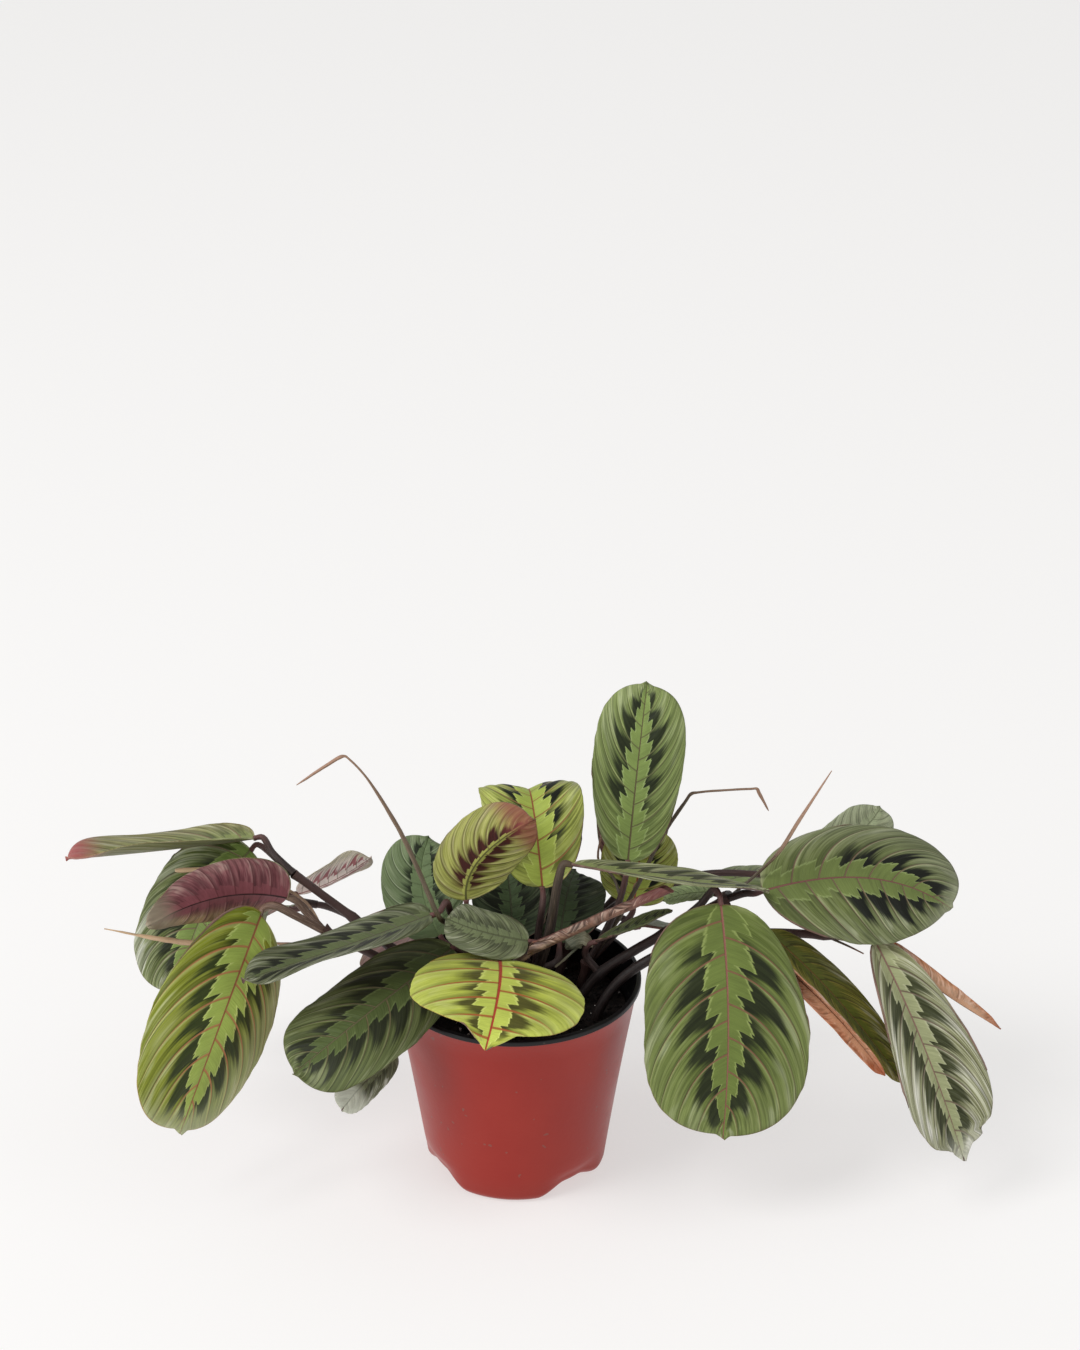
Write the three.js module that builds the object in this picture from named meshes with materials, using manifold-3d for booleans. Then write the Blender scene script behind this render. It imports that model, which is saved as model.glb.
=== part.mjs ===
// A potted prayer plant: a red-veined maranta that sprawls out of a thin nursery pot.
// Millimetres. The origin is on the pot's axis at the ground, +Z up, +X to the right, -Y to the front.
import * as THREE from "three";
import { mergeVertices } from "three/addons/utils/BufferGeometryUtils.js";
import Module from "manifold-3d";

const wasm = await Module();
wasm.setup();

const seatGap = 0.3; // between pieces that touch
const underfoot = 0.3; // further room between the soil and the pot's flats

// Pot: rim diameter 140, the usual 14 cm grower's pot, with a soft collar and three notches at its foot.
const potHeight = 118;
const rimRadius = 70;
const lip = { height: 3, overhang: 1.2 };
const wall = 1.4;
const baseRadius = 50.5;
const baseRound = 5;
const shoulder = { height: 84, rise: 7, below: 62.4, above: 65.2 };
const potSides = 40;
const notches = { angles: [-152, -49, 82], halfSpan: 26, rise: 5.5, inset: 2, top: 18 };
const drains = { count: 6, radius: 3.5, ring: 27, sides: 8 };

// Soil
const soilTop = 96;
const soilCrown = 2.5;
const soilSides = 32;
const rootDepth = 12; // how far the stems stand in the soil
const rootClearance = 1.4;

// Blades
const bladeThickness = 0.9;
const ribThickness = 1.5; // along the midrib
const bladeRows = 9;
const bladeColumns = 6;
const baseEdge = 1.8; // half width of the blade where it joins its petiole
const tipEdge = 0.8;

// Stems and petioles
const stemRadius = 2;
const petioleRadius = 1.25;
const stalkRadius = 0.8;
const tubeSides = 5;
const tubeStep = 10;
const pulvinus = 4.5; // the straight joint at the top of a petiole

function finish(color, roughness) {
  return new THREE.MeshStandardMaterial({ color, roughness, metalness: 0 });
}
const colours = {
  pot: finish(0x963c34, 0.5),
  soil: finish(0x1c1715, 0.95),
  stem: finish(0x4a3230, 0.6),
  green: finish(0x52703a, 0.5),
  bright: finish(0x9fb545, 0.5),
  dark: finish(0x37492f, 0.5),
  grey: finish(0x6d8068, 0.5),
  purple: finish(0x7c4a4f, 0.5),
  dried: finish(0xa8673f, 0.75),
};

// One entry for each blade. base, mid and tip are points of the midrib and face is the way the upper side
// looks. fold is the angle of the two halves at the midrib and curl their further bend out to the margin,
// both in degrees and positive upwards. wave is the height of the margin's waves. wide is where along the
// midrib the blade is widest, neck how full each half is at its base and point how blunt the tip is. blunt
// is where the body ends and the short point at the tip starts, and beak is half the width of that point.
const blades = {
  leaf_far_left: {
    base: [-145, 30, 189], mid: [-197, 22, 186], tip: [-247, 10, 187],
    width: 56, face: [0, 0.35, 0.94], fold: 10, curl: 10, wave: 1.5, colour: "green",
  },
  leaf_left_round: {
    base: [-148, 40, 176], mid: [-176, 20, 143], tip: [-186, 0, 105],
    width: 70, face: [-0.2, -0.8, 0.55], fold: 5, curl: -15, wave: 1.5, colour: "green",
  },
  leaf_left_purple: {
    base: [-126, 7, 164], mid: [-163, -1, 169], tip: [-202, -9, 155],
    width: 48, face: [0, 0.95, 0.25], fold: 8, curl: 10, wave: 1.5, colour: "purple", wide: 0.3, point: 1.1,
  },
  leaf_left_hanging: {
    base: [-140, -5, 160], mid: [-158, -42, 122], tip: [-184, -64, 57],
    width: 84, face: [0.68, -0.76, 0.16], fold: 4, curl: -30, wave: 1.5, colour: "bright", wide: 0.56,
    neck: [1.3, 2],
  },
  leaf_left_small: {
    base: [-123, 42, 147], mid: [-103, 44, 154], tip: [-81, 47, 167],
    width: 30, face: [0, 0.75, 0.65], fold: 12, curl: 10, wave: 1, colour: "purple", rows: 8, wide: 0.62,
    neck: [1.4, 1.4],
  },
  leaf_left_slanting: {
    base: [-46, -15, 165], mid: [-95, -33, 155], tip: [-147, -52, 146],
    width: 48, face: [-0.1, 0.15, 1], fold: 14, curl: -10, wave: 1.5, colour: "dark",
  },
  leaf_front_dark: {
    base: [-35, -10, 141], mid: [-81, -55, 126], tip: [-119, -80, 105],
    width: 64, face: [-0.3, -0.55, 0.8], fold: 4, curl: -24, wave: 2, colour: "dark", neck: [2.5, 1.6],
  },
  leaf_under_dark: {
    base: [-65, -52, 100], mid: [-81, -57, 86], tip: [-95, -62, 70],
    width: 24, face: [-0.3, -0.8, 0.5], fold: 20, curl: 10, wave: 0.5, colour: "dark",
  },
  leaf_round_spotted: {
    base: [-42, 15, 135], mid: [-52, 28, 160], tip: [-48, 45, 181],
    width: 46, face: [-0.1, -0.9, 0.4], fold: 5, curl: -10, wave: 1, colour: "grey",
  },
  leaf_mid_blotched: {
    base: [-27, 0, 166], mid: [-19, 2, 191], tip: [11, 4, 214],
    width: 46, face: [0, 1, 0], fold: 10, curl: 20, wave: 1, colour: "bright",
  },
  leaf_mid_upright: {
    base: [15, 13, 167], mid: [9, 40, 209], tip: [6, 78, 181],
    width: 58, face: [0, -0.3, 1], fold: 22, curl: -38, wave: 1.5, colour: "bright",
  },
  leaf_mid_small: {
    base: [7, -11, 146], mid: [-18, -16, 155], tip: [-38, -15, 163],
    width: 30, face: [0, -0.5, 0.85], fold: 5, curl: -15, wave: 1, colour: "grey", rows: 8,
  },
  leaf_front_bright: {
    base: [-9, -18, 139], mid: [-9, -68, 149], tip: [-16, -103, 134],
    width: 94, face: [0.12, 0, 1], fold: 3, curl: -18, wave: 2, colour: "bright", point: 2.4, blunt: 0.86,
    beak: 14,
  },
  leaf_tall: {
    base: [63, 30, 174], mid: [68, 45, 222], tip: [74, 68, 266],
    width: 51, face: [0, -1, 0.3], fold: 5, curl: -15, wave: 1.5, colour: "green", wide: 0.58,
    neck: [1.9, 1.6],
  },
  leaf_behind_tall: {
    base: [67, 40, 140], mid: [70, 50, 160], tip: [72, 60, 180],
    width: 44, face: [0, -0.8, 0.5], fold: 5, curl: 0, wave: 1, colour: "bright", rows: 8,
  },
  leaf_long_edge: {
    base: [31, -6, 191], mid: [83, -8, 183], tip: [140, 4, 168],
    width: 34, face: [0, 0.25, 0.97], fold: 12, curl: -5, wave: 1, colour: "green",
  },
  leaf_right_thin: {
    base: [45, 2, 138], mid: [67, 2, 147], tip: [87, 4, 156],
    width: 28, face: [0, 0.3, 0.95], fold: 10, curl: 0, wave: 0.5, colour: "dark", rows: 8,
  },
  leaf_right_lobe: {
    base: [110, 11, 163], mid: [97, 11, 163], tip: [82, 10, 159],
    width: 20, face: [0, 0, 1], fold: 10, curl: -10, wave: 0.5, colour: "green", rows: 6,
  },
  leaf_right_hanging: {
    base: [112, -15, 171], mid: [115, -52, 120], tip: [112, -76, 60],
    width: 91, face: [0.1, -0.85, 0.5], fold: 4, curl: -18, wave: 1.5, colour: "green", wide: 0.58,
    neck: [3.2, 1.3],
  },
  leaf_right_spread: {
    base: [137, 10, 165], mid: [196, 15, 170], tip: [241, 3, 157],
    width: 80, face: [0.05, -0.45, 0.9], fold: 4, curl: -24, wave: 1.5, colour: "green", wide: 0.47,
    neck: [2, 1.5],
  },
  leaf_right_back: {
    base: [161, 54, 152], mid: [193, 70, 165], tip: [210, 84, 178],
    width: 32, face: [0, -0.6, 0.8], fold: 5, curl: -10, wave: 1, colour: "grey",
  },
  leaf_right_olive: {
    base: [139, -5, 147], mid: [177, -16, 112], tip: [214, -36, 69],
    width: 26, face: [0.3, -0.5, 0.8], fold: 15, curl: 0, wave: 1, colour: "dark",
  },
  leaf_far_right: {
    base: [198, -10, 144], mid: [223, -40, 97], tip: [246, -65, 37],
    width: 56, face: [0.42, -0.8, 0.4], fold: 22, curl: -10, wave: 1, colour: "grey", wide: 0.7,
    neck: [0.9, 1], point: 2.4, blunt: 0.95, beak: 8,
  },
  leaf_shade_left: {
    base: [-2, 20, 130], mid: [-3, 35, 152], tip: [-7, 55, 168],
    width: 44, face: [0, -0.8, 0.5], fold: 5, curl: -10, wave: 1, colour: "dark",
  },
  leaf_shade_right: {
    base: [25, 22, 126], mid: [29, 44, 143], tip: [35, 66, 147],
    width: 44, face: [0, -0.6, 0.8], fold: 5, curl: -10, wave: 1, colour: "dark", rows: 8,
  },
  leaf_back_left: {
    base: [-15, 52, 140], mid: [-29, 88, 142], tip: [-41, 128, 112],
    width: 66, face: [0, 0, 1], fold: 6, curl: -20, wave: 2, colour: "green",
  },
  leaf_back_middle: {
    base: [17, 54, 130], mid: [21, 92, 126], tip: [25, 128, 92],
    width: 56, face: [0, 0, 1], fold: 6, curl: -20, wave: 2, colour: "bright",
  },
  leaf_back_low_left: {
    base: [-43, 68, 114], mid: [-61, 96, 88], tip: [-75, 118, 50],
    width: 60, face: [-0.4, 0.7, 0.6], fold: 5, curl: -18, wave: 1.5, colour: "green",
  },
  leaf_back_low_right: {
    base: [71, 53, 118], mid: [107, 84, 94], tip: [131, 104, 52],
    width: 52, face: [0.5, 0.6, 0.6], fold: 5, curl: -18, wave: 1.5, colour: "dark",
  },
  leaf_back_tall: {
    base: [65, 66, 146], mid: [69, 84, 184], tip: [73, 94, 214],
    width: 44, face: [0, 0.9, 0.4], fold: 6, curl: -10, wave: 1, colour: "green",
  },
  leaf_back_far_left: {
    base: [-129, 58, 128], mid: [-167, 84, 106], tip: [-195, 98, 66],
    width: 50, face: [-0.4, 0.7, 0.7], fold: 5, curl: -15, wave: 1, colour: "green",
  },
  leaf_back_far_right: {
    base: [113, 58, 142], mid: [163, 84, 132], tip: [203, 98, 96],
    width: 52, face: [0.2, 0.3, 1], fold: 5, curl: -18, wave: 1, colour: "green",
  },
  rolled_leaf: {
    base: [7, -16, 140], mid: [47, -20, 163], tip: [86, -23, 184],
    width: 26, face: [0, 0, 1], fold: 55, curl: 70, wave: 0, colour: "purple", wide: 0.4, point: 1.5,
  },
  dried_leaf_right: {
    base: [141, -20, 141], mid: [173, -37, 116], tip: [201, -58, 88],
    width: 24, face: [-0.2, -0.9, 0.3], fold: 40, curl: 60, wave: 0, colour: "dried", wide: 0.4, point: 1.5,
  },
  dried_leaf_far_right: {
    base: [200, -4, 141], mid: [229, -14, 119], tip: [268, -26, 97],
    width: 18, face: [0.3, 0.5, 0.8], fold: 50, curl: 50, wave: 0, colour: "dried", wide: 0.4, point: 1.5,
  },
};

// One entry for each shoot: the stem from the soil up, and the petioles and bare stalks that grow from it.
// A petiole's first point lies on the stem and the blade's base ends it.
const shoots = {
  shoot_left: {
    stem: [[-33, 8], [-49, 8, 113], [-67, 8, 129], [-90, 9, 150], [-122, 9, 178]],
    petioles: {
      leaf_far_left: [[-122, 9, 178], [-134, 18, 186]],
      leaf_left_round: [[-90, 9, 150], [-109, 20, 160], [-131, 33, 172]],
      leaf_back_far_left: [[-67, 8, 129], [-89, 34, 134], [-113, 52, 134]],
      leaf_left_small: [[-113, 52, 134], [-125, 50, 138]],
    },
  },
  shoot_left_low: {
    stem: [[-29, -8], [-47, -6, 114], [-69, -4, 128], [-106, 0, 147]],
    petioles: {
      leaf_left_purple: [[-106, 0, 147], [-115, 7, 154]],
      leaf_left_hanging: [[-106, 0, 147], [-121, -4, 159], [-133, -3, 165]],
    },
    stalks: [
      [[-69, -4, 128], [-93, 0, 137], [-118, 1, 138], [-143, 0, 139], [-167, -1, 139], [-227, 0, 149]],
      [[-106, 0, 147], [-117, 14, 158], [-137, 17, 166], [-157, 13, 171], [-185, 8, 177]],
    ],
  },
  shoot_front: {
    stem: [[-5, -2], [-5, -2, 112]],
    petioles: {
      leaf_front_bright: [[-5, -2, 110], [-8, -4, 124], [-9, -9, 134]],
      leaf_mid_small: [[-5, -2, 110], [1, 0, 122], [9, -3, 136]],
      leaf_front_dark: [[-5, -2, 110], [-15, 2, 130], [-25, 0, 142]],
      leaf_left_slanting: [[-5, -2, 110], [-21, 0, 136], [-35, -2, 158], [-38, -9, 170]],
      leaf_under_dark: [[-5, -2, 110], [-17, -14, 117], [-33, -28, 122], [-49, -42, 125], [-59, -49, 117]],
      rolled_leaf: [[-5, -2, 110], [-3, -6, 124], [0, -12, 133]],
    },
    stalks: [
      [[-5, -2, 110], [-27, 4, 130], [-38, 1, 150], [-41, -12, 161], [-43, -20, 170], [-60, -4, 207],
        [-92, 10, 250], [-119, 15, 230]],
    ],
  },
  shoot_middle: {
    stem: [[11, 10], [11, 10, 116]],
    petioles: {
      leaf_long_edge: [[11, 10, 114], [15, 0, 130], [19, -5, 150], [24, -6, 184]],
      leaf_mid_upright: [[11, 10, 114], [13, 11, 140], [15, 9, 157]],
      leaf_mid_blotched: [[11, 10, 114], [-5, 12, 136], [-19, 8, 152]],
      leaf_round_spotted: [[11, 10, 114], [-9, 14, 122], [-29, 13, 126]],
      leaf_shade_left: [[11, 10, 114], [3, 15, 122]],
      leaf_shade_right: [[11, 10, 114], [23, 11, 120]],
    },
  },
  shoot_tall: {
    stem: [[37, 22], [41, 23, 112]],
    petioles: {
      leaf_tall: [[41, 23, 112], [51, 25, 132], [59, 27, 152]],
      leaf_behind_tall: [[41, 23, 112], [57, 33, 126]],
    },
    stalks: [
      [[41, 23, 112], [57, 28, 136], [70, 35, 158], [82, 51, 176], [99, 56, 202], [136, 56, 205],
        [143, 56, 191]],
      [[59, 27, 152], [55, 36, 160], [47, 44, 166], [50, 50, 186]],
    ],
  },
  shoot_right: {
    stem: [[35, 2], [47, 1, 118], [63, -1, 132], [83, -2, 146], [103, 0, 158], [117, 4, 164]],
    petioles: {
      leaf_right_spread: [[117, 4, 164], [127, 8, 165]],
      leaf_right_hanging: [[83, -2, 146], [101, -4, 164], [109, -7, 176]],
      leaf_right_lobe: [[117, 4, 164], [118, 11, 163]],
      leaf_right_thin: [[47, 1, 118], [39, 5, 128]],
    },
    stalks: [[[117, 4, 164], [125, 14, 165], [133, 17, 171], [145, 8, 191], [171, 0, 245]]],
  },
  shoot_right_low: {
    stem: [[45, -12], [57, -11, 120], [77, -11, 136], [103, -9, 145], [139, 4, 142], [171, 3, 141],
      [193, -2, 142]],
    petioles: {
      leaf_far_right: [[193, -2, 142], [193, -3, 148]],
      leaf_right_olive: [[119, -4, 144], [131, -4, 151]],
      dried_leaf_right: [[119, -4, 144], [127, -12, 146], [134, -17, 144]],
      dried_leaf_far_right: [[193, -2, 142], [196, -2, 144]],
    },
    stalks: [[[171, 3, 141], [185, -1, 136], [193, -4, 133]]],
  },
  shoot_back: {
    stem: [[-1, 34], [-3, 38, 118]],
    petioles: {
      leaf_back_left: [[-3, 38, 116], [-9, 44, 132]],
      leaf_back_middle: [[-3, 38, 116], [6, 46, 126]],
      leaf_back_low_left: [[-3, 38, 116], [-19, 48, 125], [-34, 60, 126]],
    },
  },
  shoot_back_right: {
    stem: [[25, 34], [31, 38, 118]],
    petioles: {
      leaf_back_low_right: [[31, 38, 116], [47, 45, 127], [61, 49, 126]],
      leaf_back_tall: [[31, 38, 116], [47, 54, 124], [60, 63, 136]],
      leaf_back_far_right: [[31, 38, 116], [63, 46, 138], [93, 54, 146]],
      leaf_right_back: [[31, 38, 116], [63, 46, 140], [107, 46, 156], [145, 48, 154]],
    },
  },
};

const vector = (p) => new THREE.Vector3(...p);
const radians = THREE.MathUtils.degToRad;

// Solids for the cuts and joins
function solidOf(geometry) {
  geometry.deleteAttribute("normal");
  geometry.deleteAttribute("uv");
  const merged = mergeVertices(geometry, 1e-4);
  return new wasm.Manifold(
    new wasm.Mesh({
      numProp: 3,
      vertProperties: merged.getAttribute("position").array,
      triVerts: new Uint32Array(merged.index.array),
    }),
  );
}

function geometryOf(solid) {
  const { vertProperties, triVerts } = solid.getMesh();
  const geometry = new THREE.BufferGeometry();
  geometry.setAttribute("position", new THREE.BufferAttribute(vertProperties, 3));
  geometry.setIndex(new THREE.BufferAttribute(triVerts, 1));
  return geometry;
}

const plant = new THREE.Group();
function add(name, geometry, material) {
  const mesh = new THREE.Mesh(geometry, material);
  mesh.name = name;
  plant.add(mesh);
}

// Pot

// Outer radius of the wall at a height
function potRadius(z) {
  const { height, rise, below, above } = shoulder;
  const collar = height + rise;
  if (z <= height) return baseRadius + ((below - baseRadius) * z) / height;
  if (z <= collar) return below + ((above - below) * (z - height)) / rise;
  return above + ((rimRadius - lip.overhang - above) * (z - collar)) / (potHeight - collar);
}

// A turned profile about the pot's axis: the list of [radius, height] runs anticlockwise from the axis.
function turned(profile, sides) {
  const points = profile.map(([r, z]) => new THREE.Vector2(r, z));
  return new THREE.LatheGeometry(points, sides).rotateX(Math.PI / 2);
}

// Lifts and pulls in the foot of the pot at each notch, so that water can run out under it.
function notchFoot(geometry) {
  const at = geometry.getAttribute("position");
  for (let i = 0; i < at.count; i++) {
    const [x, y, z] = [at.getX(i), at.getY(i), at.getZ(i)];
    const r = Math.hypot(x, y);
    const angle = THREE.MathUtils.radToDeg(Math.atan2(y, x));
    const nearest = Math.min(...notches.angles.map((a) => Math.abs(((angle - a + 540) % 360) - 180)));
    const around = 1 - THREE.MathUtils.smoothstep(nearest, notches.halfSpan * 0.6, notches.halfSpan);
    const outward = THREE.MathUtils.smoothstep(r, baseRadius - 12, baseRadius - 4);
    const low = 1 - THREE.MathUtils.smoothstep(z, 3, notches.top);
    const amount = around * outward * low;
    const pulled = (r - notches.inset * amount) / (r || 1);
    at.setXYZ(i, x * pulled, y * pulled, z + notches.rise * amount);
  }
  return geometry;
}

function potGeometry() {
  const { height, rise } = shoulder;
  const lipFoot = potHeight - lip.height;
  const profile = [
    [0, 0],
    [baseRadius - 12, 0],
    [baseRadius - baseRound, 0],
    [baseRadius - 0.3, baseRound - 0.6],
    [potRadius(9), 9],
    [potRadius(18), 18],
    [shoulder.below, height],
    [shoulder.above, height + rise],
    [potRadius(lipFoot), lipFoot],
    [rimRadius, lipFoot + 0.2],
    [rimRadius, potHeight - 0.5],
    [rimRadius - 0.5, potHeight],
    [potRadius(potHeight) - wall, potHeight],
    [shoulder.above - wall, height + rise],
    [shoulder.below - wall, height],
    [potRadius(18) - wall, 18],
    [potRadius(9) - wall, 9],
    [baseRadius - baseRound, wall],
    [baseRadius - 12, wall],
    [0, wall],
  ];
  let pot = solidOf(notchFoot(turned(profile, potSides)));
  for (let i = 0; i < drains.count; i++) {
    const angle = (2 * Math.PI * i) / drains.count;
    const drill = new THREE.CylinderGeometry(drains.radius, drains.radius, 6 * wall, drains.sides);
    drill.rotateX(Math.PI / 2).translate(drains.ring * Math.cos(angle), drains.ring * Math.sin(angle), 0);
    pot = pot.subtract(solidOf(drill));
  }
  return geometryOf(pot);
}

// Soil, with a plain hole for each stem
function soilGeometry() {
  const inner = (z) => potRadius(z) - wall - seatGap - underfoot;
  const profile = [
    [0, wall + seatGap],
    [baseRadius - 13, wall + seatGap],
    [baseRadius - 8, wall + notches.rise + 1],
    [inner(18) - 1, 19],
    [inner(shoulder.height - 2) - 0.6, shoulder.height - 2],
    [inner(soilTop) - 0.6, soilTop],
    [rimRadius * 0.6, soilTop + soilCrown * 0.6],
    [rimRadius * 0.3, soilTop + soilCrown],
    [0, soilTop + soilCrown],
  ];
  let soil = solidOf(turned(profile, soilSides));
  for (const shoot of Object.values(shoots)) {
    const [x, y] = shoot.stem[0];
    const depth = rootDepth + seatGap + 3 * soilCrown;
    const hole = new THREE.CylinderGeometry(stemRadius + rootClearance, stemRadius + rootClearance, depth, 8);
    hole.rotateX(Math.PI / 2).translate(x, y, soilTop - rootDepth - seatGap + depth / 2);
    soil = soil.subtract(solidOf(hole));
  }
  return geometryOf(soil);
}

// Blades

// A blade's margin: broad and rounded at the base, blunt at the tip with a short point.
function halfWidth(blade, y, half) {
  const { wide = 0.5, neck = [2.5, 2.5], point = 2.6, blunt = 0.97, beak = 2.5, width } = blade;
  let body = 0;
  if (y < wide) body = (width / 2) * Math.sqrt(1 - (1 - y / wide) ** neck[half > 0 ? 0 : 1]);
  else if (y < blunt) body = (width / 2) * (1 - ((y - wide) / (blunt - wide)) ** point) ** 0.5;
  const edge = y < wide ? baseEdge : tipEdge + (beak - tipEdge) * Math.min(1, (1 - y) / (1 - blunt));
  return Math.max(body, edge);
}

// The midrib is a parabola through the blade's three points.
function midribAt(blade, y) {
  const [base, mid, tip] = [blade.base, blade.mid, blade.tip].map(vector);
  const pull = mid.clone().multiplyScalar(2).sub(base.clone().add(tip).multiplyScalar(0.5));
  const curve = new THREE.QuadraticBezierCurve3(base, pull, tip);
  const along = curve.getTangent(y);
  const side = along.clone().cross(vector(blade.face)).normalize();
  return { point: curve.getPoint(y), along, side, up: side.clone().cross(along) };
}

// A point of the blade: s runs along the midrib, t from margin to margin following the side veins,
// and lift is the height over the middle of the blade.
function bladePoint(blade, s, t, lift) {
  const half = Math.sign(t);
  const reach = Math.abs(t);
  const veinEnd = 1 - (1 - s) ** 2.2;
  const y = s + (veinEnd - s) * (0.4 * reach + 0.6 * reach ** 2);
  const { point, side, up } = midribAt(blade, y);
  const out = halfWidth(blade, veinEnd, half) * reach;
  const fold = radians(blade.fold);
  const bend = radians(blade.curl || 0.01) / (blade.width / 2);
  const angle = fold + bend * out;
  const across = (Math.sin(angle) - Math.sin(fold)) / bend;
  const rise = (Math.cos(fold) - Math.cos(angle)) / bend;
  const wave = blade.wave * reach ** 2 * Math.sin(2 * Math.PI * (1.6 * s + 0.3 * half));
  const tilt = half * angle;
  return point
    .addScaledVector(side, half * across - Math.sin(tilt) * lift)
    .addScaledVector(up, rise + wave + Math.cos(tilt) * lift);
}

// A closed solid: an upper and a lower sheet of rows by columns, split alike, and a rim between them.
function bladeGeometry(blade) {
  const rows = blade.rows ?? bladeRows;
  const width = bladeColumns + 1;
  const positions = [];
  for (const face of [1, -1])
    for (let row = 0; row <= rows; row++)
      for (let column = 0; column < width; column++) {
        const t = (2 * column) / bladeColumns - 1;
        const s = (row / rows) ** 1.3;
        const thick = t === 0 && s < 0.8 ? ribThickness : bladeThickness;
        const lift = face > 0 ? bladeThickness / 2 : bladeThickness / 2 - thick;
        positions.push(...bladePoint(blade, s, t, lift).toArray());
      }
  const under = (rows + 1) * width;
  const faces = [];
  for (let row = 0; row < rows; row++)
    for (let column = 0; column < bladeColumns; column++) {
      const a = row * width + column;
      const [b, c, d] = [a + 1, a + width + 1, a + width];
      faces.push(a, b, c, a, c, d);
      faces.push(a + under, c + under, b + under, a + under, d + under, c + under);
    }
  const rimBetween = (a, b) => faces.push(a, a + under, b + under, a, b + under, b);
  for (let column = 0; column < bladeColumns; column++) {
    rimBetween(column, column + 1);
    rimBetween(rows * width + column + 1, rows * width + column);
  }
  for (let row = 0; row < rows; row++) {
    rimBetween((row + 1) * width, row * width);
    rimBetween(row * width + bladeColumns, (row + 1) * width + bladeColumns);
  }
  const geometry = new THREE.BufferGeometry();
  geometry.setAttribute("position", new THREE.Float32BufferAttribute(positions, 3));
  geometry.setIndex(faces);
  return geometry;
}

// Shoots

function tube(points, radius) {
  const path = new THREE.CatmullRomCurve3(points.map(vector));
  const section = new THREE.Shape();
  for (let i = 0; i < tubeSides; i++) {
    const angle = (2 * Math.PI * i) / tubeSides;
    section[i ? "lineTo" : "moveTo"](radius * Math.cos(angle), radius * Math.sin(angle));
  }
  const steps = Math.max(3, Math.round(path.getLength() / tubeStep));
  return solidOf(new THREE.ExtrudeGeometry(section, { steps, bevelEnabled: false, extrudePath: path }));
}

// A petiole's last points: straight into the base of its blade.
function petioleEnd(blade) {
  const { point, along } = midribAt(blade, 0);
  return [pulvinus, seatGap].map((d) => point.clone().addScaledVector(along, -d).toArray());
}

function shootGeometry({ stem, petioles, stalks = [] }) {
  const [[x, y], ...rest] = stem;
  const foot = soilTop - rootDepth;
  let shoot = tube([[x, y, foot], [x, y, soilTop + soilCrown], ...rest], stemRadius);
  for (const [name, points] of Object.entries(petioles))
    shoot = shoot.add(tube([...points, ...petioleEnd(blades[name])], petioleRadius));
  for (const points of stalks) shoot = shoot.add(tube(points, stalkRadius));
  return geometryOf(shoot);
}

add("pot", potGeometry(), colours.pot);
add("soil", soilGeometry(), colours.soil);
for (const [name, shoot] of Object.entries(shoots)) add(name, shootGeometry(shoot), colours.stem);
for (const [name, blade] of Object.entries(blades)) add(name, bladeGeometry(blade), colours[blade.colour]);

export default plant;
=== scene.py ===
# Potted prayer plant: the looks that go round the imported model. Metres, +Z up, the model's own frame.
import math
import bpy
import bmesh
from mathutils import Matrix, Vector, noise


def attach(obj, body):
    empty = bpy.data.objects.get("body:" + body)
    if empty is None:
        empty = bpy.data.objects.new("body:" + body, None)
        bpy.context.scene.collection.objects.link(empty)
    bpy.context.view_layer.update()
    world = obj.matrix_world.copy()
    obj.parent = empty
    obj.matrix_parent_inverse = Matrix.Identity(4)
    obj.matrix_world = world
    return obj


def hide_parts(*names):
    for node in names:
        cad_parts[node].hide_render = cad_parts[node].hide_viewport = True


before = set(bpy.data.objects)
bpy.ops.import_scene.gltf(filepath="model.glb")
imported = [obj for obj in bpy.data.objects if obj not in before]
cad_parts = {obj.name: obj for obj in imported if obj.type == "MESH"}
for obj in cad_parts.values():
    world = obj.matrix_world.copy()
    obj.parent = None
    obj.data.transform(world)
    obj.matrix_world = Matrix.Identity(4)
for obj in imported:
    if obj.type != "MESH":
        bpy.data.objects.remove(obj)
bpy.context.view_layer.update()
scene = bpy.context.scene
print("frame loaded with", len(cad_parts), "nodes")


def addObject(name, data):
    thing = bpy.data.objects.new(name, data)
    scene.collection.objects.link(thing)
    return thing


# Camera, as the photograph was taken: a long lens from the front, looking 25 degrees down
photoView = {
    "place": (0, -1.45718, 0.99356), "turn": (64.641, 0, -0.534), "lens": 80.99, "sensor": 36,
    "near": 0.05, "far": 50,
}
camera = addObject("photoCamera", bpy.data.cameras.new("photoCamera"))
camera.location = photoView["place"]
camera.rotation_euler = [math.radians(a) for a in photoView["turn"]]
camera.data.sensor_fit = "VERTICAL"
camera.data.sensor_height = photoView["sensor"]
camera.data.lens = photoView["lens"]
camera.data.clip_start = photoView["near"]
camera.data.clip_end = photoView["far"]
scene.camera = camera
scene.view_settings.view_transform = "Standard"
print("camera placed")


# Nodes

def paint(red, green, blue):  # a colour read off in 0 to 255 as a shader takes it
    shades = [v / 255 for v in (red, green, blue)]
    return [v / 12.92 if v < 0.04045 else ((v + 0.055) / 1.055) ** 2.4 for v in shades] + [1]


class Signal:  # one output of a node; each sign of arithmetic adds a Math node
    def __init__(self, wires, socket):
        self.wires = wires
        self.socket = socket

    def __add__(self, other):
        return self.wires.math("ADD", self, other)

    def __sub__(self, other):
        return self.wires.math("SUBTRACT", self, other)

    def __rsub__(self, other):
        return self.wires.math("SUBTRACT", other, self)

    def __mul__(self, other):
        return self.wires.math("MULTIPLY", self, other)

    def __truediv__(self, other):
        return self.wires.math("DIVIDE", self, other)


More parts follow.
